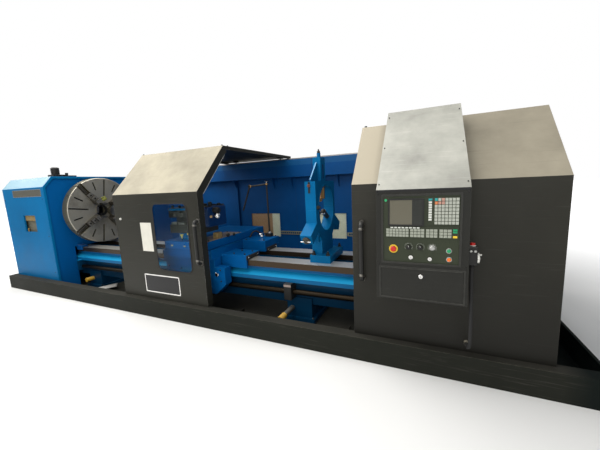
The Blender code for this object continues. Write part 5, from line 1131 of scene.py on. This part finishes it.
def panelDetails(look):
    front, face, raised = look["front"], look["face"], look["raised"]
    lowX, highX = look["panelX"]
    lowZ, highZ = look["panelZ"]
    cutOut = (lowX, lowZ), (highX, highZ)
    outer = roundedSpots(*grown(*cutOut, 0.01), 0.006)
    inner = roundedSpots(*grown(*cutOut, -0.004), 0.004)
    sheets("panelBezel", [(outer, "XZ", front - hair, front - 0.0045, [inner])], "bezelGrey", "right_door",
        edge=0.0012)
    screen = (2.555, 1.247), (2.8, 1.447)
    sheets("screenBezel", [(roundedSpots(*screen, 0.006), "XZ", raised - hair, raised - 0.005,
        [roundedSpots(*grown(*screen, -0.01), 0.003)])], "blackPlastic", "right_door", edge=0.0008)
    low, high = grown(*screen, -0.0104)
    boxes("screenGlass", [((low[0], raised - 0.002, low[1]), (high[0], raised - hair, high[1]))],
        "screenGlass", "right_door", "black_plastic")
    left, right, bottom, top, gap = 2.868, 3.018, 1.262, 1.446, 0.0035
    columns, rows = 7, 8
    keys("letterKeys", [((left, right), (bottom, top), columns, rows, gap,
        ((0, 0), (0, 1), (1, 1), (2, 0), (2, 1)))], "keyPale", "white_plastic")
    wide = (right - left - gap * (columns - 1)) / columns
    high = (top - bottom - gap * (rows - 1)) / rows

    def single(column, row):
        x, z = left + column * (wide + gap), top - row * (high + gap) - high
        return (x, x + wide), (z, z + high), 1, 1, 0.001

    keys("tealKey", [single(0, 0), ((2.828, 2.852), (1.43, 1.444), 1, 1, 0.001)], "tealPlastic",
        "green_plastic")
    keys("orangeKey", [single(0, 1)], "keyOrange", "orange_plastic")
    keys("roseKeys", [single(1, 1), single(2, 0), single(2, 1)], "keyRose", "orange_plastic")
    keys("pageKeys", [((2.829, 2.85), (1.288, 1.424), 1, 8, 0.004)], "keyWhite", "white_plastic")
    keys("softKeys", [((2.572, 2.772), (1.2295, 1.239), 8, 1, 0.007)], "keyWhite", "white_plastic")
    keys("machineKeys", [((2.541, 2.698), (1.166, 1.226), 7, 3, 0.003),
        ((2.709, 2.803), (1.166, 1.226), 4, 3, 0.003), ((2.815, 2.888), (1.166, 1.226), 3, 3, 0.003),
        ((2.901, 2.976), (1.166, 1.226), 3, 3, 0.003)], "keyGrey", "white_plastic")
    keys("greenKey", [((2.985, 3.012), (1.2, 1.228), 1, 2, 0.003)], "greenPlastic", "green_plastic")
    keys("yellowKey", [((2.985, 3.012), (1.166, 1.181), 1, 1, 0.003)], "yellowPlastic", "orange_plastic")
    lathed("stopRing", [(0.0216, 0.0045), (0.03, 0.0045), (0.0315, 0.003), (0.0315, hair),
        (0.0216, hair)], (2.592, face, 1.072), toFront, 40, "yellowPlastic", "right_door", "orange_plastic")
    marks = bmesh.new()
    z, dials = 1.09, {"feed_dial": 2.699, "speed_dial": 2.778}
    selector = 2.857
    for x in (*dials.values(), selector):
        for i in range(13):
            turn = Matrix.Rotation(math.radians(30 - 20 * i), 4, "Y")
            place = Matrix.Translation((x, face - 0.0007, z)) @ turn @ Matrix.Translation((0.0265, 0, 0))
            addBox(marks, (-0.0035, -0.0003, -0.0009), (0.0035, 0.0003, 0.0009), place)
    addPiece("dialMarks", marks, "keyPale", "right_door", "white_plastic")
    for name, x in dials.items():
        grip = bmesh.new()
        for i in range(18):
            place = Matrix.Translation((x, face, z)) @ Matrix.Rotation(math.radians(i * 20), 4, "Y")
            addBox(grip, (0.0159, -0.019, -0.0012), (0.0172, -0.004, 0.0012), place)
        addPiece(name.replace("_d", "D") + "Grip", grip, "blackPlastic", name)
        boxes(name.replace("_d", "D") + "Line", [((x - 0.0009, face - 0.0225, z + 0.002),
            (x + 0.0009, face - 0.0221, z + 0.013))], "keyWhite", name, "white_plastic")
    boxes("selectorBar", [((selector - 0.004, face - 0.0217, z - 0.0128),
        (selector + 0.004, face - 0.0219, z + 0.0128))], "blackPlastic", "mode_selector")
    locks, slots = bmesh.new(), bmesh.new()
    for x, z, size in ((2.714, 1.013, 0.016), (2.842, 1.007, 0.015)):
        addTurned(locks, [(0.0, 0.006), (size * 0.55, 0.006), (size * 0.6, 0.009), (size * 0.9, 0.009),
            (size, 0.0065), (size, hair), (0.0, hair)], (x, face, z), toFront, 32)
        addBox(slots, (x - 0.0012, face - 0.0066, z - 0.005), (x + 0.0012, face - 0.0062, z + 0.005))
    addPiece("keySwitches", locks, "chrome", "right_door", smooth=35)
    addPiece("keySlots", slots, "badgeBlack", "right_door")
    collars = bmesh.new()
    for x, z, inner in ((2.964, 1.072, 0.0146), (2.966, 1.01, 0.0146), (selector, 1.09, 0.0166)):
        addTurned(collars, [(inner, 0.0024), (inner + 0.0022, 0.0024), (inner + 0.0038, 0.0016),
            (inner + 0.0038, hair), (inner, hair)], (x, face, z), toFront, 32, True)
    addPiece("buttonCollars", collars, "silverPlastic", "right_door", smooth=35)
    lathed("greenDot", [(0.0, 0.0012), (0.0085, 0.001), (0.0095, hair), (0.0, hair)],
        (2.537, face, 1.437), toFront, 24, "greenBright", "right_door", "green_plastic", closed=False)


def boxDetails(look):
    front = look["front"]
    lowX, highX = look["x"]
    # The flange under the hood is black: a painted shadow line.
    boxes("boxTopShadowFlange", [((lowX + 0.0005, front - 0.0022, 1.5), (highX - 0.0005, front - hair, 1.5125))],
        "badgeBlack", "right_door", "dark_paint", 0.0006)
    low, high = (2.5, 0.692), (3.06, 0.925)
    outer = roundedSpots((low[0] - 0.012, low[1] - 0.01), (high[0] + 0.012, high[1] + 0.012), 0.004)
    inner = roundedSpots(*grown(low, high, 0.0015), 0.002)
    sheets("flapFrame", [(outer, "XZ", front - hair, front - 0.0035, [inner])], "bezelGrey", "right_door",
        "dark_paint", 0.0008)
    boxes("flapRims", [((low[0] + 0.001, front - 0.002, high[1] - 0.004),
        (high[0] - 0.001, front - hair, high[1] - 0.001))], "edgeGrey", "panel_flap", edge=0.0006)
    lathed("flapLock", [(0.0, 0.004), (0.008, 0.004), (0.009, 0.007), (0.014, 0.007), (0.0158, 0.005),
        (0.0158, hair), (0.0, hair)], (2.784, front, 0.869), toFront, 32, "chrome", "panel_flap",
        closed=False)
    boxes("flapLockSlot", [((2.7828, front - 0.0046, 0.864), (2.7852, front - 0.0042, 0.874))], "badgeBlack",
        "panel_flap")
    run = Vector((0, 0.53, 0.656)).normalized()
    out = Vector((0, -run.z, run.y))
    spots = []
    for share in (0.06, 0.5, 0.92):
        for side in (-1, 1):
            middle = Vector((2.777, -1.38, 1.5143)) + run * share * 0.843
            half = 0.31 - 0.03 * share - 0.016
            spots.append(tuple(middle + Vector((side * half, 0, 0)) + out * 0.0004))
    capScrews("hoodScrews", spots, tuple(out), 0.0045, "blackPlastic", "right_door")
    capScrews("boxScrews", [(x, front - hair, z) for x in (2.482, 3.072) for z in (0.955, 1.488)], toFront,
        0.0055, "blackPlastic", "right_door")
    doorCarriage("rightDoor", doors["right"], "right_door")
    handleEnds("rightHandleEnds", 2.318, "right_door")
    capScrews("rightRoofScrews", [(doors["right"] + 0.03, -0.655, doors["top"] + hair)], upward, 0.012,
        "blackPlastic", "right_door")
    x = doors["right"] + doors["width"]
    sheets("rightSlopeEdge", [(slopeStrip(doors["front"] + 0.098, doors["bend"] + 0.02, -0.0935, 0.003), "YZ",
        doors["right"] - 0.002, doors["right"] + 0.03, [])], "edgeGrey", "right_door", "white_plastic")
    boxes("rightDoorSeal", [((doors["right"] + 0.01, doors["front"] + 0.004, doors["low"] + 0.0004),
        (x - 0.01, doors["front"] + 0.012, doors["low"] + 0.02))], "blackRubber", "right_door")


def pendantDetails():
    lathed("pendantCollar", [(0.0166, 0.0055), (0.0195, 0.0055), (0.0205, 0.004), (0.0205, hair),
        (0.0166, hair)], (3.11615, -1.3, 1.1), upward, 32, "whitePlastic", "right_door")
    knobs = bmesh.new()
    for x in (3.103, 3.129):
        addTurned(knobs, [(0.0, 0.012), (0.0075, 0.012), (0.0085, 0.01), (0.0085, hair), (0.0, hair)],
            (x, -1.335, 1.07), toFront, 20)
    addPiece("pendantKnobs", knobs, "silverPlastic", "right_door", smooth=35)
    lathed("pendantScale", [(0.012, 0.0004), (0.0335, 0.0004), (0.0335, 0.0009), (0.012, 0.0009)],
        (3.1593, -1.3, 1.014), toRight, 40, "badgeBlack", "pendant_wheel")
    boxes("pendantHook", [((3.0873, -1.33, 1.02), (3.0876, -1.27, 1.05))], "blackPlastic", "right_door")
    relief = bmesh.new()
    for i in range(6):
        addTurned(relief, [(0.0124, 0.0), (0.0155 - i * 0.0003, 0.001), (0.0155 - i * 0.0003, 0.004),
            (0.0124, 0.005)], (3.11615, -1.3, 0.964 - i * 0.0062), (0, 0, -1), 24, True)
    addPiece("cordSleeve", relief, "blackRubber", "right_door", "black_plastic", smooth=35)


panelDetails(box)
boxDetails(box)
pendantDetails()
print("right door and control box dressed")

# Carriage, cross-slide and turret: tool holders, hoses, oil funnels, nozzle fittings.

slide = {"right": 0.44, "front": -1.02, "top": 0.95}


def slideDetails(look):
    top = look["top"] + hair
    right, front = look["right"], look["front"]
    boxes("slidePlate", [((0.165, front + 0.012, top), (right - 0.012, -0.3, top + 0.004))], "slideTop",
        "cross_slide", "cast_steel", 0.001)
    capScrews("slidePlateScrews", [(x, -0.33, top + 0.0043) for x in (0.2, right - 0.03)], upward, 0.009,
        "blackPlastic", "cross_slide")
    boxes("brownBlock", [((0.345, -0.795, top + 0.0044), (0.425, -0.705, 1.032))], "liningBrown",
        "cross_slide", "cast_steel", 0.008)
    bumps = bmesh.new()
    for x, y, size in ((0.4, -0.965, 0.026), (0.345, -0.985, 0.02), (0.29, -0.97, 0.017),
            (0.245, -0.985, 0.015)):
        addTurned(bumps, [(0.0, size), (size * 0.7, size * 0.92), (size, size * 0.6), (size, 0.0044),
            (0.0, 0.0044)], (x, y, top), upward, 20)
    addPiece("clampNuts", bumps, "blackPlastic", "cross_slide", smooth=35)
    boxes("slideEndCap", [((0.17, front - 0.012, 0.862), (0.41, front - hair, 0.938))], "turretIron",
        "cross_slide", edge=0.004)
    capScrews("slideEndScrews", [(x, front - 0.0123, z) for x in (0.195, 0.385) for z in (0.875, 0.925)],
        toFront, 0.006, "blackPlastic", "cross_slide")
    dab = bmesh.new()
    addBall(dab, (0.445, -0.62, 0.972), 0.03, (0.6, 1, 0.9))
    addBall(dab, (0.447, -0.5, 0.962), 0.024, (0.6, 1, 0.9))
    addPiece("dripGrease", dab, "blackPlastic", "cross_slide", smooth=60)


def turretDetails():
    # Holders sit in the turret's slots and turn with it.
    boxes("turretHolder", [((0.1603, -0.93, 1.12), (0.43, -0.6, 1.37))], "holderShadeBlue", "turret", "blue_paint",
        0.014)
    boxes("turretHolderFoot", [((0.1603, -0.9, 1.0407), (0.3, -0.62, 1.1197))], "turretIron", "turret",
        "turret_iron", 0.006)
    clamp = bmesh.new()
    for x, y, size, high in ((0.4, -0.86, 0.026, 0.058), (0.33, -0.86, 0.022, 0.038),
            (0.25, -0.86, 0.022, 0.03), (0.25, -0.68, 0.022, 0.03), (0.385, -0.68, 0.022, 0.03)):
        addTurned(clamp, [(0.0, high), (size * 0.8, high), (size, high - 0.006), (size, 0.0), (0.0, 0.0)],
            (x, y, 1.3703), upward, 6 if high > 0.05 else 20)
    addPiece("holderBolts", clamp, "blackPlastic", "turret", edge=0.003)
    bar = bmesh.new()
    addRod(bar, (0.4303, -0.83, 1.322), (0.5, -0.83, 1.322), 0.036, steps=32)
    addRod(bar, (0.5003, -0.83, 1.322), (0.514, -0.83, 1.322), 0.03, steps=32)
    addPiece("barHolder", bar, "blackPlastic", "turret", edge=0.004)
    nose = bmesh.new()
    addRod(nose, (0.4303, -0.83, 1.252), (0.45, -0.83, 1.252), 0.03, steps=24)
    addBall(nose, (0.476, -0.83, 1.252), 0.04, steps=28)
    addPiece("silverNose", nose, "chrome", "turret", "ground_steel", smooth=50)
    boxes("carbideTip", [((0.4303, -0.915, 1.235), (0.446, -0.885, 1.262))], "tanBit", "turret",
        "orange_plastic", 0.004)
    boxes("holderStrap", [((0.18, -0.92, 1.3703), (0.41, -0.895, 1.384)),
        ((0.18, -0.64, 1.3703), (0.41, -0.61, 1.384))], "turretIron", "turret", "turret_iron", 0.003)
    shape = bmesh.new()
    for x in (-0.18, -0.06, 0.06):
        for y in (-0.9, -0.6):
            addRod(shape, (x, y, 1.3603), (x, y, 1.394), 0.017, steps=6)
    addPiece("turretBolts", shape, "blackPlastic", "turret", edge=0.002)
    boxes("turretCap", [((-0.12, -0.82, 1.3603), (0.06, -0.68, 1.372))], "turretIron", "turret", "turret_iron",
        0.004)
    shape = bmesh.new()
    addTurned(shape, [(0.0, 0.06), (0.034, 0.06), (0.04, 0.052), (0.04, 0.0), (0.0, 0.0)],
        (-0.03, -0.75, 1.3722), upward, 32)
    addRod(shape, (-0.03, -0.75, 1.412), (-0.13, -0.8, 1.448), 0.01)
    addBall(shape, (-0.14, -0.805, 1.4516), 0.021)
    addPiece("turretLever", shape, "blackPlastic", "turret", smooth=40)
    bosses = bmesh.new()
    for x in (-0.135, -0.02):
        addTurned(bosses, [(0.0, 0.02), (0.026, 0.02), (0.03, 0.016), (0.036, 0.004), (0.048, 0.003),
            (0.05, 0.0), (0.0, 0.0)], (x, -0.9403, 1.283), toFront, 32)
    addPiece("turretBosses", bosses, "turretIron", "turret", "turret_iron", smooth=35)
    boxes("turretBlueStrip", [((-0.205, -0.948, 1.332), (0.1, -0.9403, 1.356))], "bluePaint", "turret",
        edge=0.002)
    boxes("turretInserts", [((-0.19, -0.9375, 1.152), (-0.1, -0.885, 1.1785)),
        ((-0.07, -0.9375, 1.152), (0.03, -0.885, 1.1785))], "jawTooth", "turret", edge=0.002)


def saddleDetails():
    boxes("saddleWipers", [((0.8303, -0.8, 0.703), (0.842, -0.53, 0.752)),
        ((0.8303, -0.31, 0.703), (0.842, -0.04, 0.752)), ((-0.582, -0.8, 0.703), (-0.5703, -0.53, 0.752)),
        ((-0.582, -0.31, 0.703), (-0.5703, -0.04, 0.752))], "blackRubber", "carriage", "black_plastic", 0.003)
    capScrews("wiperScrews", [(0.8423, y, 0.728) for y in (-0.77, -0.56, -0.28, -0.07)], toRight, 0.006,
        "chrome", "carriage")
    spots = [(x, y, 0.7603) for x in (-0.52, 0.78, 0.62) for y in (-0.75, -0.58)]
    spots += [(x, y, 0.8453) for x in (0.5, 0.79) for y in (-0.3, 0.03)]
    capScrews("saddleScrews", spots, upward, 0.011, "blackPlastic", "carriage")
    boxes("apronPlate", [((-0.1, -0.9535, 0.36), (0.4, -0.9503, 0.6))], "bluePaint", "carriage", edge=0.001)
    spots = [(x, -0.9503, z) for x in (-0.3, 0.55) for z in (0.46, 0.6)]
    spots += [(x, -0.9538, z) for x in (-0.08, 0.38) for z in (0.38, 0.58)]
    capScrews("apronScrews", spots, toFront, 0.009, "blackPlastic", "carriage")
    lathed("oilSight", [(0.0, 0.01), (0.02, 0.01), (0.026, 0.006), (0.026, 0.0), (0.0, 0.0)],
        (0.49, -0.9503, 0.54), toFront, 32, "chrome", "carriage", closed=False)
    funnels, stems = bmesh.new(), bmesh.new()
    for x, y, z, size in ((0.163, -1.0, 1.034, 0.028), (0.083, -1.003, 0.88, 0.026),
            (-0.13, -1.003, 0.882, 0.026), (0.036, -1.0, 1.017, 0.02)):
        addTurned(funnels, [(0.006, -0.03), (0.008, -0.012), (size, 0.016), (size, 0.02), (size * 0.9, 0.02),
            (0.006, -0.004), (0.0, -0.004), (0.0, -0.03)], (x, y, z), upward, 24)
        if z > 0.95:
            addRod(stems, (x, y, 0.957), (x, y, z - 0.0305), 0.005, steps=12)
    addPiece("oilFunnels", funnels, "funnelYellow", "cross_slide", "orange_plastic", smooth=40)
    addPiece("funnelStems", stems, "blackPlastic", "cross_slide", smooth=40)
    balls = bmesh.new()
    for x, y, z, size in ((0.615, -0.09, 0.885, 0.026), (0.7, -0.2, 0.88, 0.022)):
        addRod(balls, (x, y, 0.8455), (x, y, z), size * 0.55, steps=20)
        addBall(balls, (x, y, z), size, steps=24)
    addPiece("chromeBalls", balls, "chrome", "carriage", smooth=50)
    ridge("coolantPipe", bowed([(0.598, 0.0, 0.87), (0.56, -0.004, 0.88), (0.52, -0.02, 0.915),
        (0.49, -0.055, 0.925), (0.472, -0.1, 0.905), (0.468, -0.14, 0.868), (0.468, -0.165, 0.856)], 8), 0.011,
        "blackRubber", "carriage", 5)
    nozzle = bmesh.new()
    addRod(nozzle, (0.3698, -0.12, 1.2645), (0.3635, -0.12, 1.249), 0.0135, 0.0095, steps=20)
    addRod(nozzle, (0.3632, -0.12, 1.2483), (0.359, -0.12, 1.238), 0.0085, 0.007, steps=20)
    addPiece("nozzleOutlet", nozzle, "blackPlastic", "coolant_nozzle", "silver_plastic", smooth=35)
    rings = bmesh.new()
    addTurned(rings, [(0.0195, -0.01), (0.0235, -0.008), (0.0235, 0.008), (0.0195, 0.01)], (0.71, 0.0, 1.61),
        upward, 28, True)
    addTurned(rings, [(0.0195, -0.008), (0.0228, -0.006), (0.0228, 0.006), (0.0195, 0.008)],
        (0.5, -0.12, 1.588), toRear, 28, True)
    addPiece("elbowRings", rings, "brass", "coolant_nozzle", smooth=35)
    tap = bmesh.new()
    addRod(tap, (0.71, 0.0, 1.6306), (0.71, 0.0, 1.645), 0.008, steps=16)
    addRod(tap, (0.675, 0.0, 1.652), (0.745, 0.0, 1.652), 0.007, steps=16)
    addPiece("tapHandle", tap, "chrome", "coolant_nozzle", smooth=35)
    lathed("postCollar", [(0.0123, 0.0), (0.022, 0.0), (0.022, 0.018), (0.0123, 0.024)],
        (0.71, 0.0, 0.8955), upward, 24, "chrome", "carriage")


slideDetails(slide)
turretDetails()
saddleDetails()
print("carriage dressed")

# Rear guard: brace, brackets, seams and the slotted strip along its foot.


def guardDetails():
    face = 1.1997
    boxes("guardBrace", [((-0.7, face - 0.03, 0.25), (-0.66, face, 1.7197)),
        ((-0.73, face - 0.004, 0.25), (-0.7003, face, 1.7197))], "guardBlue", "frame", edge=0.002)
    parts = []
    for x in (-2.58, -1.6, -0.68, 0.18, 0.57, 1.445, 2.45, 3.4):
        parts.append(([(face, 1.5), (face, 1.7197), (face - 0.11, 1.7197)], "YZ", x - 0.003, x + 0.003, []))
    sheets("guardGussets", parts, "guardBlue", "frame", edge=0.001)
    boxes("guardPads", [((x - 0.07, face - 0.006, 1.54), (x + 0.07, face, 1.7197))
        for x in (0.18, 0.57, 1.445)], "guardBlue", "frame", edge=0.002)
    # Painted light: a lighter band along the top of the beam's front.
    boxes("beamLitBand", [((-2.653, 1.079, 1.928), (3.698, 1.0797, 2.028))], "beamLitBlue", "frame", "blue_paint")
    boxes("guardSeams", [((x - 0.0025, 1.0782, 1.722), (x + 0.0025, 1.0788, 2.028))
        for x in (-1.6, 0.3, 1.0, 2.2)], "seamDark", "frame")
    boxes("guardSheetSeams", [((x - 0.002, face - 0.0008, 0.28), (x + 0.002, face, 1.719))
        for x in (-1.6, 0.62, 1.78, 2.6)], "seamDark", "frame")
    strip = {"z": (0.65, 0.712), "holeZ": (0.664, 0.698), "holeWide": 0.031, "step": 0.0415, "start": 0.275}
    low, high = strip["z"]
    holeLow, holeHigh = strip["holeZ"]
    strips, returns = [], []
    for left, right in ((0.262, 1.015), (1.575, 2.6)):
        holes = []
        for i in range(56):
            x = strip["start"] + i * strip["step"]
            end = x + strip["holeWide"]
            if left < x and end < right:
                holes.append([(x, holeLow), (end, holeLow), (end, holeHigh), (x, holeHigh)])
        outer = [(left, low), (right, low), (right, high), (left, high)]
        strips.append((outer, "XZ", face - 0.02, face - 0.0175, holes))
        returns.append(((left, face - 0.0172, high - 0.003), (right, face, high)))
    sheets("slottedStrip", strips, "galvanised", "frame")
    boxes("stripReturn", returns, "galvanised", "frame")
    frames = []
    for low, high in (((-0.385, 0.6), (0.255, 1.05)), ((1.03, 0.6), (1.56, 1.05))):
        outer = roundedSpots(*grown(low, high, 0.018), 0.012)
        frames.append((outer, "XZ", face - 0.004, face, [[low, (high[0], low[1]), high, (low[0], high[1])]]))
    sheets("windowFrames", frames, "guardBlue", "frame", edge=0.001)
    back = 1.2137
    boxes("windowBrownHalf", [((-0.395, back, 0.59), (0.084, back + 0.002, 1.06))], "windowBrown", "frame",
        "clear_pane")
    boxes("windowCream", [((0.0845, back, 0.59), (0.265, back + 0.002, 1.06)),
        ((1.02, back, 0.59), (1.57, back + 0.002, 1.06))], "windowCream", "frame", "clear_pane")
    along = (-2.5, -2.0, -1.5, -1.0, 0.35, 0.85, 1.7, 2.3, 2.9, 3.5)
    capScrews("guardScrews", [(x, face - hair, z) for x in along for z in (0.3, 1.6)], toFront, 0.007,
        "blackPlastic", "frame")
    rear = 1.2043
    boxes("guardRibs", [((x - 0.02, rear, 0.24), (x + 0.02, rear + 0.022, 2.02))
        for x in (-2.6, -1.6, -0.62, 0.66, 1.8, 2.7, 3.64)], "guardBlue", "frame", edge=0.002)
    boxes("guardRearRail", [((-2.65, rear + 0.0225, 0.3), (3.69, rear + 0.032, 0.36))], "guardBlue", "frame",
        edge=0.002)


guardDetails()
print("guard dressed")

# Steady rest: quills, clamps, nuts and bolts.


def steadyDetails(look):
    left, right, middle = look["left"], look["right"], look["middle"]
    spots = [(x, y, 0.7853) for x in (1.657, 1.825) for y in (-0.65, -0.19)]
    bolts = bmesh.new()
    for x, y, z in spots:
        addTurned(bolts, [(0.0, 0.006), (0.024, 0.006), (0.026, 0.004), (0.026, 0.0), (0.0, 0.0)], (x, y, z),
            upward, 24)
        addRod(bolts, (x, y, z + 0.0063), (x, y, z + 0.028), 0.018, steps=6)
        addRod(bolts, (x, y, z + 0.0283), (x, y, z + 0.046), 0.01, steps=16)
    addPiece("steadyBolts", bolts, "blackPlastic", "steady_rest", edge=0.0015)
    boxes("steadyPads", [((right + 0.0023, -0.765, 0.955), (right + 0.01, -0.7, 1.02))], "bluePaint",
        "steady_rest", edge=0.003)
    # Painted highlights along the gusset's top edges.
    boxes("gussetEdge", [((middle - 0.0075, -0.705, 1.64), (middle + 0.0075, -0.7, 1.655))], "highlightBlue",
        "steady_cap", edge=0.001)
    start, end = Vector((middle, -0.7185, 1.626)), Vector((middle, -0.5125, 1.8195))
    run = (end - start).normalized()
    out = Vector((0, -run.z, run.y))
    strip = [start + out * 0.0016, end + out * 0.0016, end + out * 0.0056, start + out * 0.0056]
    sheets("gussetStrip", [([(p.y, p.z) for p in strip], "YZ", middle - 0.0075, middle + 0.0075, [])],
        "highlightBlue", "steady_cap", edge=0.001)
    nut = bmesh.new()
    addRod(nut, (middle, -0.42, 1.9305), (middle, -0.42, 1.956), 0.02, 0.016, steps=24)
    addRod(nut, (middle, -0.42, 1.9563), (middle, -0.42, 1.975), 0.008, steps=16)
    addPiece("steadyKnobTop", nut, "blackPlastic", "steady_cap", "cast_steel", edge=0.002)
    lathed("quillSleeve", [(0.0306, 0.105), (0.05, 0.105), (0.056, 0.112), (0.056, 0.255), (0.0306, 0.255)],
        (middle, *aroundSpindle(90, 0.0)), upward, 32, "brass", "steady_cap", "cast_steel")
    boxes("capSlot", [((1.668, -0.7712, 1.485), (1.692, -0.7703, 1.604))], "badgeBlack", "steady_cap",
        "dark_paint")
    capScrews("capSlotNut", [(1.68, -0.7715, 1.565)], toFront, 0.016, "rustBrown", "steady_cap", "cast_steel")
    slots = [((left - 0.0012, -0.436, 1.64), (left - hair, -0.404, 1.8)),
        ((left + 0.0903, -0.436, 1.64), (left + 0.0912, -0.404, 1.8))]
    boxes("clampSlots", slots, "seamDark", "steady_cap")
    swing = bmesh.new()
    addRod(swing, (right + hair, -0.735, 1.33), (right + 0.024, -0.735, 1.33), 0.022, steps=6)
    addRod(swing, (right + 0.0243, -0.735, 1.33), (right + 0.038, -0.735, 1.33), 0.011, steps=16)
    addPiece("capClamp", swing, "blackPlastic", "steady_cap", edge=0.0015)
    for name, angle in (("Front", 210), ("Rear", 330)):
        y, z = aroundSpindle(angle, 0.5805)
        heading = Vector((0, y - spindle["y"], z - spindle["z"])).normalized()
        base = Vector((middle + 0.015, y, z))
        lathed("armNut" + name, [(0.0, 0.0), (0.04, 0.0), (0.042, 0.004), (0.042, 0.014), (0.03, 0.018),
            (0.018, 0.02), (0.018, 0.04), (0.0, 0.04)], base, heading, 28, "turretIron", "steady_rest",
            closed=False)
        handle = bmesh.new()
        cross = Vector((1, 0, 0))
        top = base + heading * 0.03
        addRod(handle, top - cross * 0.055, top - cross * 0.0185, 0.006, steps=12)
        addRod(handle, top + cross * 0.0185, top + cross * 0.055, 0.006, steps=12)
        addPiece("armHandle" + name, handle, "chrome", "steady_rest", smooth=35)
    # A painted highlight on the front arm's face.
    rim = bmesh.new()
    addBox(rim, (left + 0.004, -0.061, 0.3), (right - 0.004, -0.0585, 0.575), radialMatrix(210))
    addPiece("armTopFace", rim, "highlightBlue", "steady_rest", edge=0.0008)
    for name, first, last, body in (("Low", 183, 357, "steady_rest"), ("High", 3, 177, "steady_cap")):
        ring = bmesh.new()
        spots = arcSpots((spindle["y"], spindle["z"]), 0.262, first, last, 40)
        spots += arcSpots((spindle["y"], spindle["z"]), 0.285, last, first, 40)
        addSheet(ring, spots, "YZ", right + hair, right + 0.0043)
        addSheet(ring, spots, "YZ", left - 0.0043, left - hair)
        addPiece("boreRim" + name, ring, "bluePaint", body, edge=0.0012)
    tips = {"steady_quill_top": (90, "quillDark"), "steady_quill_front": (210, "turretIron"),
        "steady_quill_rear": (330, "chrome")}
    for name, (angle, finish) in tips.items():
        y, z = aroundSpindle(angle, 0.105)
        heading = Vector((0, y - spindle["y"], z - spindle["z"])).normalized()
        lathed(name.replace("_", "") + "Band", [(0.0305, 0.0), (0.0345, 0.003), (0.0345, 0.024),
            (0.0305, 0.027)], (middle, y, z), heading, 28, finish, name, "cast_steel")


steady = {"left": 1.63, "right": 1.75, "middle": 1.675}
steadyDetails(steady)
print("steady rest dressed")

# Tailstock and the rest of the drive side.


def tailDetails():
    wheel = bmesh.new()
    x, axis = 3.4903, (spindle["y"], spindle["z"])
    addTurned(wheel, [(0.0, 0.05), (0.036, 0.05), (0.04, 0.044), (0.04, 0.0), (0.0, 0.0)], (x, *axis),
        toRight, 28)
    ring = []
    for i in range(12):
        angle = math.radians(i * 30)
        ring.append((0.128 + 0.013 * math.cos(angle), 0.032 + 0.013 * math.sin(angle)))
    addTurned(wheel, ring, (x, *axis), toRight, 48, True)
    for angle in (90, 210, 330):
        turn = math.radians(angle)
        inner = Vector((x + 0.03, spindle["y"] + 0.0402 * math.cos(turn), spindle["z"] + 0.0402 * math.sin(turn)))
        outer = Vector((x + 0.032, spindle["y"] + 0.116 * math.cos(turn), spindle["z"] + 0.116 * math.sin(turn)))
        addRod(wheel, inner, outer, 0.009, 0.007, steps=14)
    turn = math.radians(60)
    knob = Vector((x + 0.046, spindle["y"] + 0.128 * math.cos(turn), spindle["z"] + 0.128 * math.sin(turn)))
    addRod(wheel, knob, knob + Vector((0.055, 0, 0)), 0.011, 0.014, steps=16)
    addPiece("tailWheel", wheel, "turretIron", "tailstock", smooth=40)
    bolts = bmesh.new()
    for bx in (2.91, 3.42):
        for y in (-0.73, -0.11):
            addTurned(bolts, [(0.0, 0.006), (0.026, 0.006), (0.028, 0.004), (0.028, 0.0), (0.0, 0.0)],
                (bx, y, 0.8603), upward, 24)
            addRod(bolts, (bx, y, 0.8666), (bx, y, 0.895), 0.02, steps=6)
    addPiece("tailBolts", bolts, "blackPlastic", "tailstock", edge=0.0015)
    lever = bmesh.new()
    addRod(lever, (3.0, -0.42, 1.5003), (3.0, -0.42, 1.535), 0.022, steps=20)
    addRod(lever, (3.0, -0.442, 1.525), (3.0, -0.56, 1.585), 0.009, steps=14)
    addBall(lever, (3.0, -0.57, 1.59), 0.018)
    addPiece("tailLever", lever, "blackPlastic", "tailstock", smooth=40)
    lathed("tailBarrelRing", [(0.0915, 0.0), (0.125, 0.0), (0.13, 0.006), (0.13, 0.014), (0.0915, 0.014)],
        (2.8157, *axis), toRight, 48, "turretIron", "tailstock")
    boxes("tailScale", [((2.86, -0.46, 1.5003), (2.96, -0.44, 1.5013))], "barePlate", "tailstock")


tailDetails()
print("tailstock dressed")
